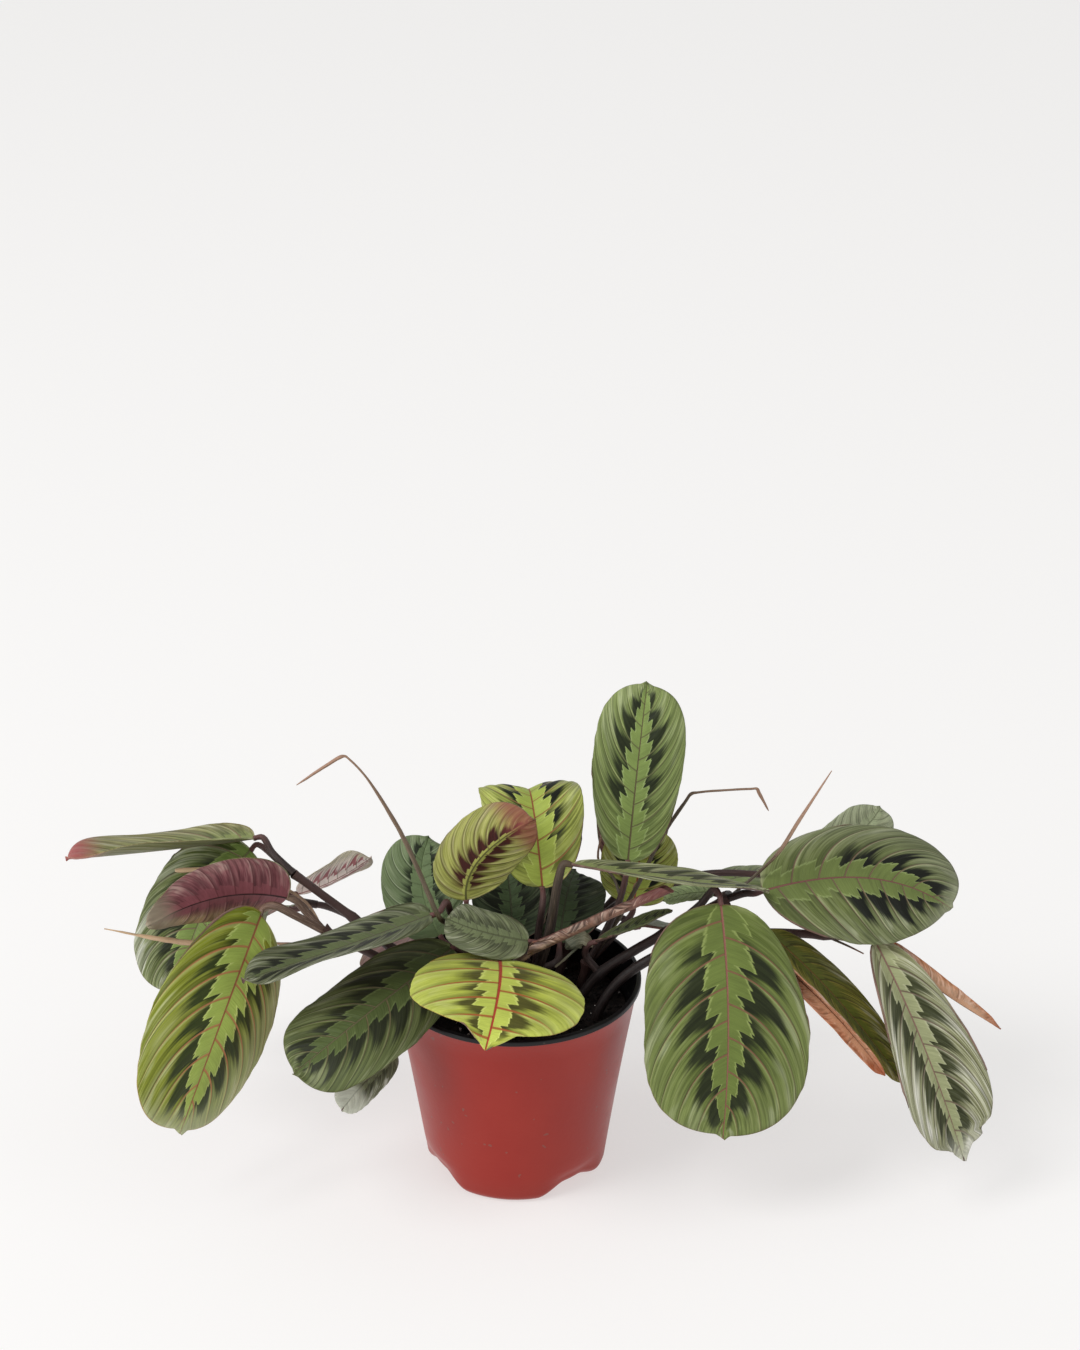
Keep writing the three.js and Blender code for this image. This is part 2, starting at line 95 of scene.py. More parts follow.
class Wires:  # short ways to add nodes to one tree
    def __init__(self, tree):
        self.tree = tree
        self.made = 0

    def join(self, value, socket):
        if isinstance(value, Signal):
            self.tree.links.new(value.socket, socket)
        else:
            socket.default_value = value

    def add(self, kind, takes=None, **settings):  # a node, as its outputs by number and by name
        node = self.tree.nodes.new(kind)
        node.location = (190 * (self.made % 14), -260 * (self.made // 14))
        self.made += 1
        for name, value in settings.items():
            setattr(node, name, value)
        for name, value in (takes or {}).items():
            self.join(value, node.inputs[name])
        signals = [Signal(self, socket) for socket in node.outputs]
        return {**dict(enumerate(signals)), **{s.socket.name: s for s in signals}}

    def math(self, operation, a, b=0.0):
        return self.add("ShaderNodeMath", {0: a, 1: b}, operation=operation)[0]

    def ease(self, value, low, high, start=0.0, end=1.0):  # a smooth step between two limits
        takes = {0: value, 1: low, 2: high, 3: start, 4: end}
        return self.add("ShaderNodeMapRange", takes, interpolation_type="SMOOTHSTEP")[0]

    def blend(self, amount, a, b, kind="MIX"):
        return self.add("ShaderNodeMix", {0: amount, 6: a, 7: b}, data_type="RGBA", blend_type=kind)[2]

    def vector(self, x=0.0, y=0.0, z=0.0):
        return self.add("ShaderNodeCombineXYZ", {0: x, 1: y, 2: z})[0]

    def split(self, value):
        parts = self.add("ShaderNodeSeparateXYZ", {0: value})
        return [parts[i] for i in range(3)]

    def noise(self, place, scale=1.0, detail=3.0, roughness=0.55):
        takes = {"Vector": place, "Scale": scale, "Detail": detail, "Roughness": roughness}
        return self.add("ShaderNodeTexNoise", takes)[0]

    def map(self, name):
        return self.add("ShaderNodeUVMap", uv_map=name)[0]


def newGroup(name, takes, gives):
    group = bpy.data.node_groups.new(name, "ShaderNodeTree")
    kinds = {"color": "NodeSocketColor", "value": "NodeSocketFloat", "vector": "NodeSocketVector"}
    for way, sockets in (("INPUT", takes), ("OUTPUT", gives)):
        for label, kind in sockets:
            group.interface.new_socket(label, in_out=way, socket_type=kinds[kind])
    wires = Wires(group)
    given = wires.add("NodeGroupInput")
    return group, wires, given, group.nodes.new("NodeGroupOutput").inputs


def newSkin(name, **constants):  # a material and its Principled shader
    skin = bpy.data.materials.new(name)
    skin.use_nodes = True
    shader = skin.node_tree.nodes["Principled BSDF"]
    for socket, value in constants.items():
        shader.inputs[socket.replace("_", " ")].default_value = value
    return skin, Wires(skin.node_tree), shader


def finishSkin(wires, shader, color, roughness, height, strength, distance):
    bump = wires.add("ShaderNodeBump", {"Height": height, "Strength": strength, "Distance": distance})
    for socket, value in (("Base Color", color), ("Roughness", roughness), ("Normal", bump[0])):
        wires.join(value, shader.inputs[socket])


# Leaf markings. Every pattern is drawn between the side veins: "veins" is a blade's own map, with the way
# along the midrib and the share of the way out to the margin; "flat" holds millimetres out and the length.

leafColours = ["Blade", "Margin", "Band", "Band edge", "Blotch", "Streak", "Vein", "Midrib", "Tip", "Side",
               "Gleam"]
leafValues = ["seed", "veins", "veinWidth", "bandInner", "bandOuter", "blotchReach", "blotchShare", "streaks",
              "tipStart", "sideShare", "gleam", "midrib", "blotchStart", "shade"]
# Noise drawn out along the side veins: how fine across them and along them, its detail and its shift
streakNoise = {"lines": (6, 1.1, 3, 0), "threads": (14, 1.7, 2, 3.1), "grain": (44, 7, 2, 5.7),
               "ragged": (6, 18, 3, 0), "swell": (1.3, 1.3, 2, 9.4)}
cover = {"flank": 0.5, "band": 0.92, "edge": 0.7, "vein": 0.85, "tip": 0.8}  # how strong a marking is
leafRough = {"least": 0.38, "lines": 0.14, "patches": 0.12}
leafRelief = {"strength": 0.7, "depth": 0.0007, "lines": 0.9, "threads": 0.35, "grain": 0.08,
              "vein": 0.5, "midrib": 0.8}
leafGloss = {"Specular_IOR_Level": 0.24, "Sheen_Weight": 0.06, "Sheen_Roughness": 0.5}


def makeMarkings():
    takes = [("vein map", "vector"), ("flat map", "vector")]
    takes += [(c, "color") for c in leafColours] + [(v, "value") for v in leafValues]
    gives = [("Color", "color"), ("Roughness", "value"), ("Height", "value")]
    group, w, given, result = newGroup("prayerPlantMarkings", takes, gives)
    along, across = w.split(given["vein map"])[:2]
    outMm, length = w.split(given["flat map"])[:2]
    half = w.math("GREATER_THAN", across, 0)
    reach = w.math("ABSOLUTE", across)
    order = half * 0.5 + along * given["veins"]
    place = w.math("FRACT", order)
    cell = w.vector(w.math("FLOOR", order), half, given["seed"])
    luck = w.split(w.add("ShaderNodeTexWhiteNoise", {"Vector": cell}, noise_dimensions="3D")["Color"])
    sideSeed = half * 7.3 + given["seed"]

    def streaky(often, outward, detail, shift):
        spot = w.vector(order * often, reach * outward, sideSeed + shift)
        return w.noise(spot, detail=detail, roughness=0.6)

    lines, threads, grain, ragged, swell = [streaky(*values) for values in streakNoise.values()]
    patches = w.noise(w.vector(length * 3, across * 1.6, given["seed"]), detail=2)

    # light band along the midrib, a tooth between each two veins that points to the tip
    turn = luck[0] * 0.34 + 0.5
    rising = place / turn * 0.4 + 0.6
    falling = (place - turn) / (1 - turn) * 0.4 + 0.1
    tooth = rising + (falling - rising) * w.ease(place - turn, -0.03, 0.03)
    tooth = w.math("FRACT", place * 3.4 + luck[2]) * 0.16 + tooth
    tooth = tooth * (luck[1] * 0.4 + 0.74)
    limit = tooth * (given["bandOuter"] - given["bandInner"]) + given["bandInner"]
    limit = limit * w.ease(along, 0.35, 0.95, 1, 1.7)
    limit = (ragged - 0.5) * 0.06 + limit
    band = 1 - w.ease(reach - limit, -0.01, 0.01)
    edge = w.ease(reach - limit, -0.035, -0.012) * band

    # dark blotches outside it, rounded between the veins and feathered along them
    window = w.ease(along - given["blotchStart"], 0, 0.12) * w.ease(along, 0.99, 0.86)
    span = (luck[2] * 0.7 + 0.65) * given["blotchReach"] * w.ease(along, 0.35, 0.9, 1, 1.5)
    span = span * (w.ease(place, -0.05, 0.4) * w.ease(place, 1.05, 0.55) * 0.7 + 0.3)
    far = span * window + limit
    feather = (threads - 0.5) * 0.16 + ((lines - 0.5) * 0.22 + reach)
    inside = 1 - w.ease(feather - far, -0.15, 0.09)
    between = w.ease(place, 0, 0.06) * w.ease(place, 1, 0.93)
    blotch = inside * (1 - band) * between * window * given["blotchShare"]

    # side veins and midrib; beside each vein a painted highlight on the side of the tip and a painted shade
    # in the furrow on the other, as light falls on the pleats
    wide = given["veinWidth"] * (reach * -0.6 + 1)
    vein = 1 - w.ease(w.math("MINIMUM", place, 1 - place) / wide, 0.35, 1)
    vein = vein * w.ease(reach, 0.95, 0.35, 0.3, 1) * w.ease(along, 0.995, 0.93)
    offBand = band * -0.8 + 1
    flank = w.ease(place / wide, 4.2, 1.2) * offBand
    paintedFurrowShade = w.ease((1 - place) / wide, 5, 1) * offBand
    ribWidth = given["midrib"] * (length * -0.6 + 1)
    rib = 1 - w.ease(w.math("ABSOLUTE", outMm) / ribWidth, 0.45, 1)

    # ground colour, with one half of the blade in another where a leaf wants it: its own tone on most leaves,
    # a painted sheen on the left hanging leaf
    color = w.blend(w.ease(reach, 0.35, 1), given["Blade"], given["Margin"])
    side = w.math("MAXIMUM", (half * 2 - 1) * given["sideShare"], 0) * w.ease(reach, 0.2, 0.7)
    color = w.blend(side, color, given["Side"])

    # pale streaks, and a painted sheen, glancing light off the swellings between the veins
    pale = w.math("MAXIMUM", w.ease(lines, 0.48, 0.68), w.ease(threads, 0.5, 0.6) * 0.6)
    # the pale streaks are kept strongest midway between the veins: partly the leaf's own streaks, partly a
    # painted highlight on the crests of the pleats
    pale = pale * (w.ease(place, 0.05, 0.3) * w.ease(place, 0.9, 0.5) * 0.5 + 0.5)
    pale = pale * w.ease(reach, 0.1, 0.4, 0.3, 1)
    color = w.blend(pale * given["streaks"], color, given["Streak"])
    gleam = w.ease(swell, 0.5, 0.6) * w.ease(reach, 0.35, 0.75) * w.ease(threads, 0.36, 0.56, 0.55, 1)
    gleam = gleam * w.ease(place, 0.7, 0.3, 0.4, 1) * given["gleam"]
    color = w.blend(gleam, color, given["Gleam"])

    # shade between the streaks and painted shade in the pleat furrows, then the markings over it, from the
    # ground up
    calm = (band * -0.7 + 1) * given["shade"]
    shade = w.ease(lines, 0.52, 0.38) * calm * -0.3 + 1
    shade = shade * (w.ease(threads, 0.5, 0.4) * calm * -0.24 + 1)
    shade = shade * (paintedFurrowShade * -0.4 + 1) * ((grain - 0.5) * 0.5 + 1) * ((patches - 0.5) * 0.7 + 1)
    # the painted highlight on the pleat flank beside each vein, in the streak colour
    color = w.blend(flank * cover["flank"], color, given["Streak"])
    color = w.blend(blotch, color, given["Blotch"])
    color = w.blend(band * cover["band"], color, given["Band"])
    color = w.blend(edge * cover["edge"], color, given["Band edge"])
    color = w.blend(1, color, w.vector(shade, shade, shade), "MULTIPLY")
    color = w.blend(vein * cover["vein"], color, given["Vein"])
    color = w.blend(rib, color, given["Midrib"])
    color = w.blend(w.ease(length - given["tipStart"], -0.06, 0.12) * cover["tip"], color, given["Tip"])
    color = w.blend(w.ease(reach, 0.985, 1, 0, 0.4), color, given["Vein"])
    w.join(color, result["Color"])
    rough = patches * leafRough["patches"] + (lines * leafRough["lines"] + leafRough["least"])
    w.join(rough, result["Roughness"])
    r = leafRelief
    height = grain * r["grain"] + (lines * r["lines"] + threads * r["threads"])
    w.join(height - vein * r["vein"] - rib * r["midrib"], result["Height"])
    return group


markings = makeMarkings()


def leafLook(colours=(), **values):  # colours in the order of leafColours, 0 where the plain leaf's stays
    return {**values, **{name: shade for name, shade in zip(leafColours, colours) if shade}}


# What each kind of leaf looks like, above and below. Colours are 0 to 255, and sweep says how far up the
# margin the side veins end.
plainLeaf = leafLook([(104, 114, 50), (112, 122, 66), (118, 132, 62), (158, 172, 100), (26, 32, 8),
    (190, 195, 140), (118, 82, 62), (146, 94, 82), (128, 136, 92), (156, 164, 130), (224, 226, 198)],
    veins=8, veinWidth=0.045, band=(0.1, 0.25), blotchReach=0.32, blotchShare=0.92, blotchStart=0.06,
    streaks=0.5, gleam=0.45, tipStart=1.3, sideShare=0.0, midrib=0.85, sweep=(0.62, 1.1), shade=1.0,
    slot="leaf_green")
plainUnder = leafLook([(132, 90, 88), (126, 98, 84), (134, 102, 90), (136, 102, 90), (102, 62, 66),
    (160, 136, 122), (98, 62, 60), (86, 52, 52), 0, 0, (176, 154, 142)], sideShare=0.0, tipStart=1.3,
    blotchShare=0.4)
leafKinds = {
    "rightHanging": leafLook([(102, 117, 52), (112, 125, 66), (110, 126, 60), 0, (24, 31, 8),
        (166, 174, 116), (130, 86, 68)], veins=7, gleam=0.22, streaks=0.35, shade=0.8, band=(0.06, 0.22)),
    # a light yellow-green that is partly the leaf's own colour and partly painted light, standing in for
    # light shining through the leaf
    "bright": leafLook([(184, 194, 74), (196, 206, 92), (188, 200, 88), (216, 224, 124), (74, 70, 20),
        (216, 222, 132), (164, 66, 36), (174, 62, 42), 0, 0, (224, 226, 170)], veins=6, sweep=(0.78, 1.2),
        slot="leaf_bright", band=(0.07, 0.18), blotchReach=0.24, veinWidth=0.085, midrib=1.5, streaks=0.3,
        gleam=0.25, blotchShare=0.95, shade=0.4),
    # the grey side colour on one half of this leaf is a painted sheen
    "leftHanging": leafLook([(136, 146, 32), (134, 144, 42), (164, 186, 88), (208, 222, 132), (40, 54, 8),
        (208, 212, 136), (182, 112, 76), (158, 100, 64), (190, 194, 160), (150, 162, 110), (222, 224, 184)],
        slot="leaf_bright", band=(0.1, 0.27), sideShare=-0.7, gleam=0.4, streaks=0.25, blotchReach=0.3,
        blotchShare=0.95, veinWidth=0.065, midrib=1.1, shade=0.7, tipStart=0.93),
    "spread": leafLook([(98, 109, 57), (104, 112, 73), (108, 122, 64), (142, 156, 98), (14, 18, 5),
        (176, 180, 138), (114, 86, 72), (124, 80, 72), (156, 160, 132), (124, 130, 98)], band=(0.1, 0.25),
        sideShare=-0.35, gleam=0.22, blotchStart=0.24, streaks=0.32, blotchReach=0.32, blotchShare=1.0,
        shade=0.8, tipStart=0.93),
    "tall": leafLook([(114, 130, 70), (122, 136, 78), (132, 152, 82), (170, 190, 122), (20, 28, 8),
        (186, 200, 130), (102, 100, 66), (100, 90, 62)], band=(0.1, 0.25), blotchReach=0.28, midrib=0.7,
        gleam=0.2, blotchStart=0.16, shade=0.8, streaks=0.4),
    "deep": leafLook([(78, 88, 42), (88, 98, 54), (80, 94, 48), (108, 122, 72), (30, 35, 14),
        (158, 166, 114), (104, 92, 64), (98, 92, 62), 0, 0, (190, 194, 156)], slot="leaf_dark",
        streaks=0.24, blotchReach=0.36, gleam=0.3, shade=0.8),
    "slate": leafLook([(78, 86, 52), (88, 94, 62), (92, 102, 64), (112, 122, 82), (16, 20, 8),
        (176, 180, 150), (96, 96, 72), (82, 78, 58), 0, 0, (214, 216, 192)], slot="leaf_dark", streaks=0.36,
        blotchReach=0.36, gleam=0.5, shade=0.8),
    "slateTip": leafLook([(108, 111, 82), (118, 121, 94), (110, 114, 84), (126, 132, 98), (50, 54, 34),
        (176, 180, 154), (96, 96, 72), (82, 78, 58), (208, 210, 194), 0, (236, 236, 222)], slot="leaf_dark",
        streaks=0.6, blotchShare=0.7, gleam=0.9, tipStart=0.62),
    "leftRound": leafLook([(98, 113, 50), (116, 129, 74), (136, 160, 82), (176, 196, 118), (26, 34, 10),
        (204, 210, 168), (134, 112, 90), (126, 128, 84), 0, 0, (244, 246, 232)], streaks=0.6, gleam=0.65),
    "farLeft": leafLook([(138, 148, 84), (144, 150, 90), (140, 152, 86), (146, 158, 92), 0, (198, 198, 152),
        (140, 112, 84), (128, 96, 84), (178, 84, 92), (138, 126, 84), (226, 224, 196)], streaks=0.6,
        blotchShare=0.1, tipStart=0.82, sideShare=0.6, gleam=0.4, shade=1.2),
    "maroon": leafLook(slot="leaf_purple"),
    # pinkish white, its own colour lightened further as painted light on a leaf that lies in shade
    "pinkish": leafLook([(240, 220, 211), (202, 194, 162), (242, 226, 218), (244, 230, 222), (172, 94, 102),
        (252, 244, 238), (120, 108, 84), (168, 116, 112)], slot="leaf_purple", streaks=0.9,
        blotchShare=0.75, shade=0.4),
    "spotted": leafLook([(106, 124, 84), (112, 128, 88), (106, 124, 84), (108, 128, 86), (30, 40, 18),
        (186, 196, 164), (94, 108, 72), (112, 130, 88)], slot="leaf_grey", blotchReach=0.2, blotchShare=1.0,
        band=(0.17, 0.22), streaks=0.15, shade=0.4, gleam=0.12),
    "paleSlate": leafLook([(120, 128, 92), (104, 112, 80), (122, 132, 94), (126, 136, 98), (16, 20, 8),
        (190, 196, 160), (88, 92, 64), (96, 102, 72)], slot="leaf_grey", blotchShare=0.5, streaks=0.25,
        gleam=0.4, shade=0.8),
    "lime": leafLook([(156, 166, 72), (166, 174, 82), (172, 188, 84), (202, 214, 116), (16, 22, 2),
        (204, 210, 128), (152, 92, 58), (158, 92, 60)], slot="leaf_bright", band=(0.1, 0.28), streaks=0.55,
        gleam=0.35, blotchShare=1.0),
    "young": leafLook(slot="leaf_bright", veins=9),
    "striped": leafLook([(126, 132, 84), (134, 140, 94), (134, 144, 88), (146, 156, 98), (38, 42, 20),
        (206, 206, 168), (124, 116, 86), (136, 122, 92)], streaks=0.9, blotchShare=0.85, blotchReach=0.5,
        gleam=0.7),
    # painted light: the small lobe is lightened well beyond its own green, as it lies in the shade of the
    # leaves above
    "lobe": leafLook([(160, 180, 124), (164, 184, 128), (162, 182, 126), (162, 182, 126), 0,
        (168, 184, 134), (104, 120, 76), (108, 122, 78)], blotchShare=0.0, streaks=0.35, gleam=0.15),
    "olive": leafLook([(88, 94, 28), (84, 86, 26), (90, 98, 30), (92, 100, 32), 0, (156, 144, 66),
        (70, 66, 28), (112, 90, 42), 0, (160, 154, 56)], slot="leaf_dark", blotchShare=0.0, streaks=0.6,
        sideShare=0.7),
    # a grey-green leaf whose whitish streaks and sheen are painted sheen, glancing light off its pleats
    "silver": leafLook([(148, 150, 106), (148, 150, 108), (172, 177, 132), (198, 200, 162), (52, 58, 24),
        (230, 230, 206), (116, 94, 80), (146, 114, 100), (216, 216, 202), 0, (250, 248, 238)],
        slot="leaf_grey", streaks=0.85, band=(0.08, 0.2), blotchReach=0.36, gleam=0.8, tipStart=0.92),
    "paleBack": leafLook([(154, 162, 127), (160, 168, 135), (156, 166, 129), (152, 162, 124), 0,
        (180, 186, 154), (122, 128, 96), (128, 136, 102)], slot="leaf_grey", blotchShare=0.0, streaks=0.35,
        gleam=0.15),
    # painted shade: a darkened copy of the leaf green, for leaves seen only in the shadowed gaps between
    # others
    "shade": leafLook([(62, 76, 50), (68, 82, 56), (76, 94, 60), (90, 108, 70), (24, 30, 14),
        (104, 116, 86), (64, 70, 48), (74, 80, 56)], slot="leaf_dark", streaks=0.4, gleam=0.2),
    "rolled": leafLook([(126, 94, 78), (116, 84, 70), 0, 0, 0, (198, 170, 152), 0, 0, (104, 58, 54)],
        slot="leaf_purple", blotchShare=0.0, streaks=0.8, tipStart=0.5, sweep=(0.97, 1.0), shade=1.6,
        veinWidth=0.02, veins=5),
    "dried": leafLook([(210, 164, 131), (190, 120, 76), (212, 168, 135), (212, 168, 135), 0,
        (242, 212, 186), (186, 132, 100), (142, 84, 58), (162, 84, 46), (192, 112, 66), (240, 214, 192)],
        slot="leaf_dried", blotchShare=0.0, streaks=0.6, gleam=0.4, sweep=(0.97, 1.0), shade=0.7,
        veinWidth=0.02, veins=5, sideShare=0.7, tipStart=0.86),
}
underKinds = {  # undersides that show and aren't the plain dusty maroon
    "maroon": leafLook([(134, 76, 82), (134, 84, 86), (132, 74, 80), (134, 76, 82), (104, 52, 60),
        (176, 136, 132), (100, 52, 56), (54, 28, 30), (160, 152, 128), (168, 148, 104), (206, 190, 174)],
        sideShare=1.0, blotchShare=0.35, streaks=0.45, gleam=0.35, tipStart=0.8),
    "farLeft": leafLook([(116, 118, 72), (124, 126, 76), (118, 120, 74), (118, 120, 74), 0, (158, 156, 108),
        (110, 88, 64), (112, 82, 68), (166, 84, 88)], tipStart=0.82, blotchShare=0.0),
    "young": leafLook([(160, 162, 80), (172, 174, 94), (156, 158, 78), (158, 160, 82), (66, 22, 16),
        (206, 204, 142), (112, 96, 56), (88, 88, 44), (138, 68, 64)], tipStart=0.8, blotchShare=1.0,
        streaks=0.35, veinWidth=0.07, band=(0.03, 0.07), blotchReach=0.34),
    "pinkish": leafLook([(250, 232, 224), (208, 200, 168), (250, 236, 228), (252, 240, 232), (176, 96, 104),
        (255, 250, 244), (126, 112, 86), (168, 116, 110)], blotchShare=0.9),
    "rolled": leafLook([(122, 88, 74), (112, 80, 66), (128, 94, 78), (128, 94, 78), 0, (212, 186, 168),
        (96, 58, 50), (92, 54, 48), (104, 56, 54)], blotchShare=0.0, tipStart=0.72, streaks=0.9),
    "dried": leafLook([(211, 165, 132), (194, 124, 78), (211, 166, 133), (211, 166, 133), 0,
        (244, 218, 198), (188, 134, 102), (148, 90, 64), (160, 92, 60), 0, (242, 220, 202)],
        blotchShare=0.0, tipStart=0.88),
    "olive": leafLook([(104, 100, 44), (96, 90, 40), (106, 102, 46), (106, 102, 46), 0, (128, 124, 66),
        (78, 70, 32), (96, 76, 40)], blotchShare=0.0),
}


def leafSkin(name, kind, seed, under=False):
    look = {**plainLeaf, **leafKinds[kind], "seed": seed}
    if under:
        look = {**look, **plainUnder, **underKinds.get(kind, {})}
    look["bandInner"], look["bandOuter"] = look["band"]
    skin, w, shader = newSkin(name, **leafGloss)
    takes = {"vein map": w.map("veins"), "flat map": w.map("flat")}
    takes.update({label: look[label] for label in leafValues})
    takes.update({label: paint(*look[label]) for label in leafColours})
    use = w.add("ShaderNodeGroup", takes, node_tree=markings)
    strength = -leafRelief["strength"] if under else leafRelief["strength"]
    finishSkin(w, shader, use["Color"], use["Roughness"], use["Height"], strength, leafRelief["depth"])
    return skin


# Blades. base, mid and tip are points of the midrib in millimetres, and face is the way the upper side looks.
# fold and curl bend the halves up from the midrib, in degrees, and wave is how far the margin waves.
# The outline is widest at wide; neck, for its right and left half, and point round off its two ends, full
# says how full its sides are, blunt how far along it comes before the short point, acumen half the width of
# that point, and bites its nicks: place, half, reach and depth.
leafOutline = {"wide": 0.5, "neck": (2.5, 2.5), "point": 2.6, "blunt": 0.985, "full": 0.85, "acumen": 4,
               "bites": ()}


def leaf(base, mid, tip, width, face, fold, curl, wave, look, **outline):
    return {"base": Vector(base), "mid": Vector(mid), "tip": Vector(tip), "width": width,
            "face": Vector(face), "fold": fold, "curl": curl, "wave": wave, "look": look,
            **leafOutline, **outline}


bladePlan = {
    "leaf_far_left": leaf((-145, 30, 189), (-197, 22, 186), (-247, 10, 187), 56, (0, 0.35, 0.94), 10, 10,
        1.5, "farLeft", neck=(4, 2.5), point=3.4),
    "leaf_left_round": leaf((-148, 40, 176), (-176, 20, 143), (-186, 0, 105), 70, (-0.2, -0.8, 0.55), 5,
        -15, 1.5, "leftRound"),
    "leaf_left_purple": leaf((-126, 7, 164), (-163, -1, 169), (-202, -9, 155), 48, (0, 0.95, 0.25), 8, 10,
        1.5, "maroon", wide=0.3, point=1.1),
    "leaf_left_hanging": leaf((-140, -5, 160), (-158, -42, 122), (-184, -64, 57), 84, (0.68, -0.76, 0.16),
        4, -30, 1.5, "leftHanging", wide=0.56, neck=(1.3, 2), point=3.4),
    "leaf_left_small": leaf((-123, 42, 147), (-103, 44, 154), (-81, 47, 167), 30, (0, 0.75, 0.65), 12, 10,
        1, "pinkish", wide=0.62, neck=(1.4, 1.4), point=3.4),
    "leaf_left_slanting": leaf((-46, -15, 165), (-95, -33, 155), (-147, -52, 146), 48, (-0.1, 0.15, 1), 14,
        -10, 2.5, "slate", point=1.9),
    "leaf_front_dark": leaf((-35, -10, 141), (-81, -55, 126), (-119, -80, 105), 64, (-0.3, -0.55, 0.8), 4,
        -24, 2, "deep", neck=(2.5, 1.6)),
    "leaf_under_dark": leaf((-65, -52, 100), (-81, -57, 86), (-95, -62, 70), 24, (-0.3, -0.8, 0.5), 20, 10,
        0.5, "slateTip"),
    "leaf_round_spotted": leaf((-42, 15, 135), (-52, 28, 160), (-48, 45, 181), 46, (-0.1, -0.9, 0.4), 5,
        -10, 1, "spotted"),
    "leaf_mid_blotched": leaf((-27, 0, 166), (-19, 2, 191), (11, 4, 214), 46, (0, 1, 0), 10, 20, 1,
        "young"),
    "leaf_mid_upright": leaf((15, 13, 167), (9, 40, 209), (6, 78, 181), 58, (0, -0.3, 1), 22, -38, 1.5,
        "lime"),
    "leaf_mid_small": leaf((7, -11, 146), (-18, -16, 155), (-38, -15, 163), 30, (0, -0.5, 0.85), 5, -15, 1,
        "paleSlate"),
    "leaf_front_bright": leaf((-9, -18, 139), (-9, -68, 149), (-16, -103, 134), 94, (0.12, 0, 1), 3, -18, 2,
        "bright", point=2.4, blunt=0.86, acumen=14),
    "leaf_tall": leaf((63, 30, 174), (68, 45, 222), (74, 68, 266), 51, (0, -1, 0.3), 5, -15, 1.5, "tall",
        wide=0.58, neck=(1.9, 1.6), point=2.8),
    "leaf_behind_tall": leaf((67, 40, 140), (70, 50, 160), (72, 60, 180), 44, (0, -0.8, 0.5), 5, 0, 1,
        "lime"),
    "leaf_long_edge": leaf((31, -6, 191), (83, -8, 183), (140, 4, 168), 34, (0, 0.25, 0.97), 12, -5, 1,
        "striped"),
    "leaf_right_thin": leaf((45, 2, 138), (67, 2, 147), (87, 4, 156), 28, (0, 0.3, 0.95), 10, 0, 0.5,
        "deep"),
    "leaf_right_lobe": leaf((110, 11, 163), (97, 11, 163), (82, 10, 159), 20, (0, 0, 1), 10, -10, 0.5,
        "lobe"),
    "leaf_right_hanging": leaf((112, -15, 171), (115, -52, 120), (112, -76, 60), 91, (0.1, -0.85, 0.5), 4,
        -18, 1.5, "rightHanging", wide=0.58, neck=(3.2, 1.3), point=2.8),
    "leaf_right_spread": leaf((137, 10, 165), (196, 15, 170), (241, 3, 157), 80, (0.05, -0.45, 0.9), 4, -24,
        1.5, "spread", wide=0.47, neck=(2, 1.5)),
    "leaf_right_back": leaf((161, 54, 152), (193, 70, 165), (210, 84, 178), 32, (0, -0.6, 0.8), 5, -10, 1,
        "paleBack"),
    "leaf_right_olive": leaf((139, -5, 147), (177, -16, 112), (214, -36, 69), 26, (0.3, -0.5, 0.8), 15, 0,
        1, "olive"),
    "leaf_far_right": leaf((198, -10, 144), (223, -40, 97), (246, -65, 37), 56, (0.42, -0.8, 0.4), 22, -10,
        1, "silver", wide=0.7, neck=(0.9, 1.0), point=2.4, blunt=0.95, acumen=8,
        bites=[(0.93, 1, 0.03, 0.25), (0.9, -1, 0.025, 0.3)]),
    "leaf_shade_left": leaf((-2, 20, 130), (-3, 35, 152), (-7, 55, 168), 44, (0, -0.8, 0.5), 5, -10, 1,
        "shade"),
    "leaf_shade_right": leaf((25, 22, 126), (29, 44, 143), (35, 66, 147), 44, (0, -0.6, 0.8), 5, -10, 1,
        "shade"),
    "leaf_back_left": leaf((-15, 52, 140), (-29, 88, 142), (-41, 128, 112), 66, (0, 0, 1), 6, -20, 2,
        "spread"),
    "leaf_back_middle": leaf((17, 54, 130), (21, 92, 126), (25, 128, 92), 56, (0, 0, 1), 6, -20, 2, "lime"),
    "leaf_back_low_left": leaf((-43, 68, 114), (-61, 96, 88), (-75, 118, 50), 60, (-0.4, 0.7, 0.6), 5, -18,
        1.5, "rightHanging"),
    "leaf_back_low_right": leaf((71, 53, 118), (107, 84, 94), (131, 104, 52), 52, (0.5, 0.6, 0.6), 5, -18,
        1.5, "deep"),
    "leaf_back_tall": leaf((65, 66, 146), (69, 84, 184), (73, 94, 214), 44, (0, 0.9, 0.4), 6, -10, 1,
        "tall"),
    "leaf_back_far_left": leaf((-129, 58, 128), (-167, 84, 106), (-195, 98, 66), 50, (-0.4, 0.7, 0.7), 5,
        -15, 1, "spread"),
    "leaf_back_far_right": leaf((113, 58, 142), (163, 84, 132), (203, 98, 96), 52, (0.2, 0.3, 1), 5, -18, 1,
        "tall"),
    "rolled_leaf": leaf((7, -16, 140), (47, -20, 163), (86, -23, 184), 26, (0, 0, 1), 0, 270, 0, "rolled",
        wide=0.45, point=4),
    "dried_leaf_right": leaf((141, -20, 141), (173, -37, 116), (201, -58, 88), 24, (-0.2, -0.9, 0.3), 40,
        60, 0, "dried", wide=0.4, point=1.5),
    "dried_leaf_far_right": leaf((200, -4, 141), (229, -14, 119), (268, -26, 97), 18, (0.3, 0.5, 0.8), 50,
        50, 0, "dried", wide=0.4, point=1.5),
}

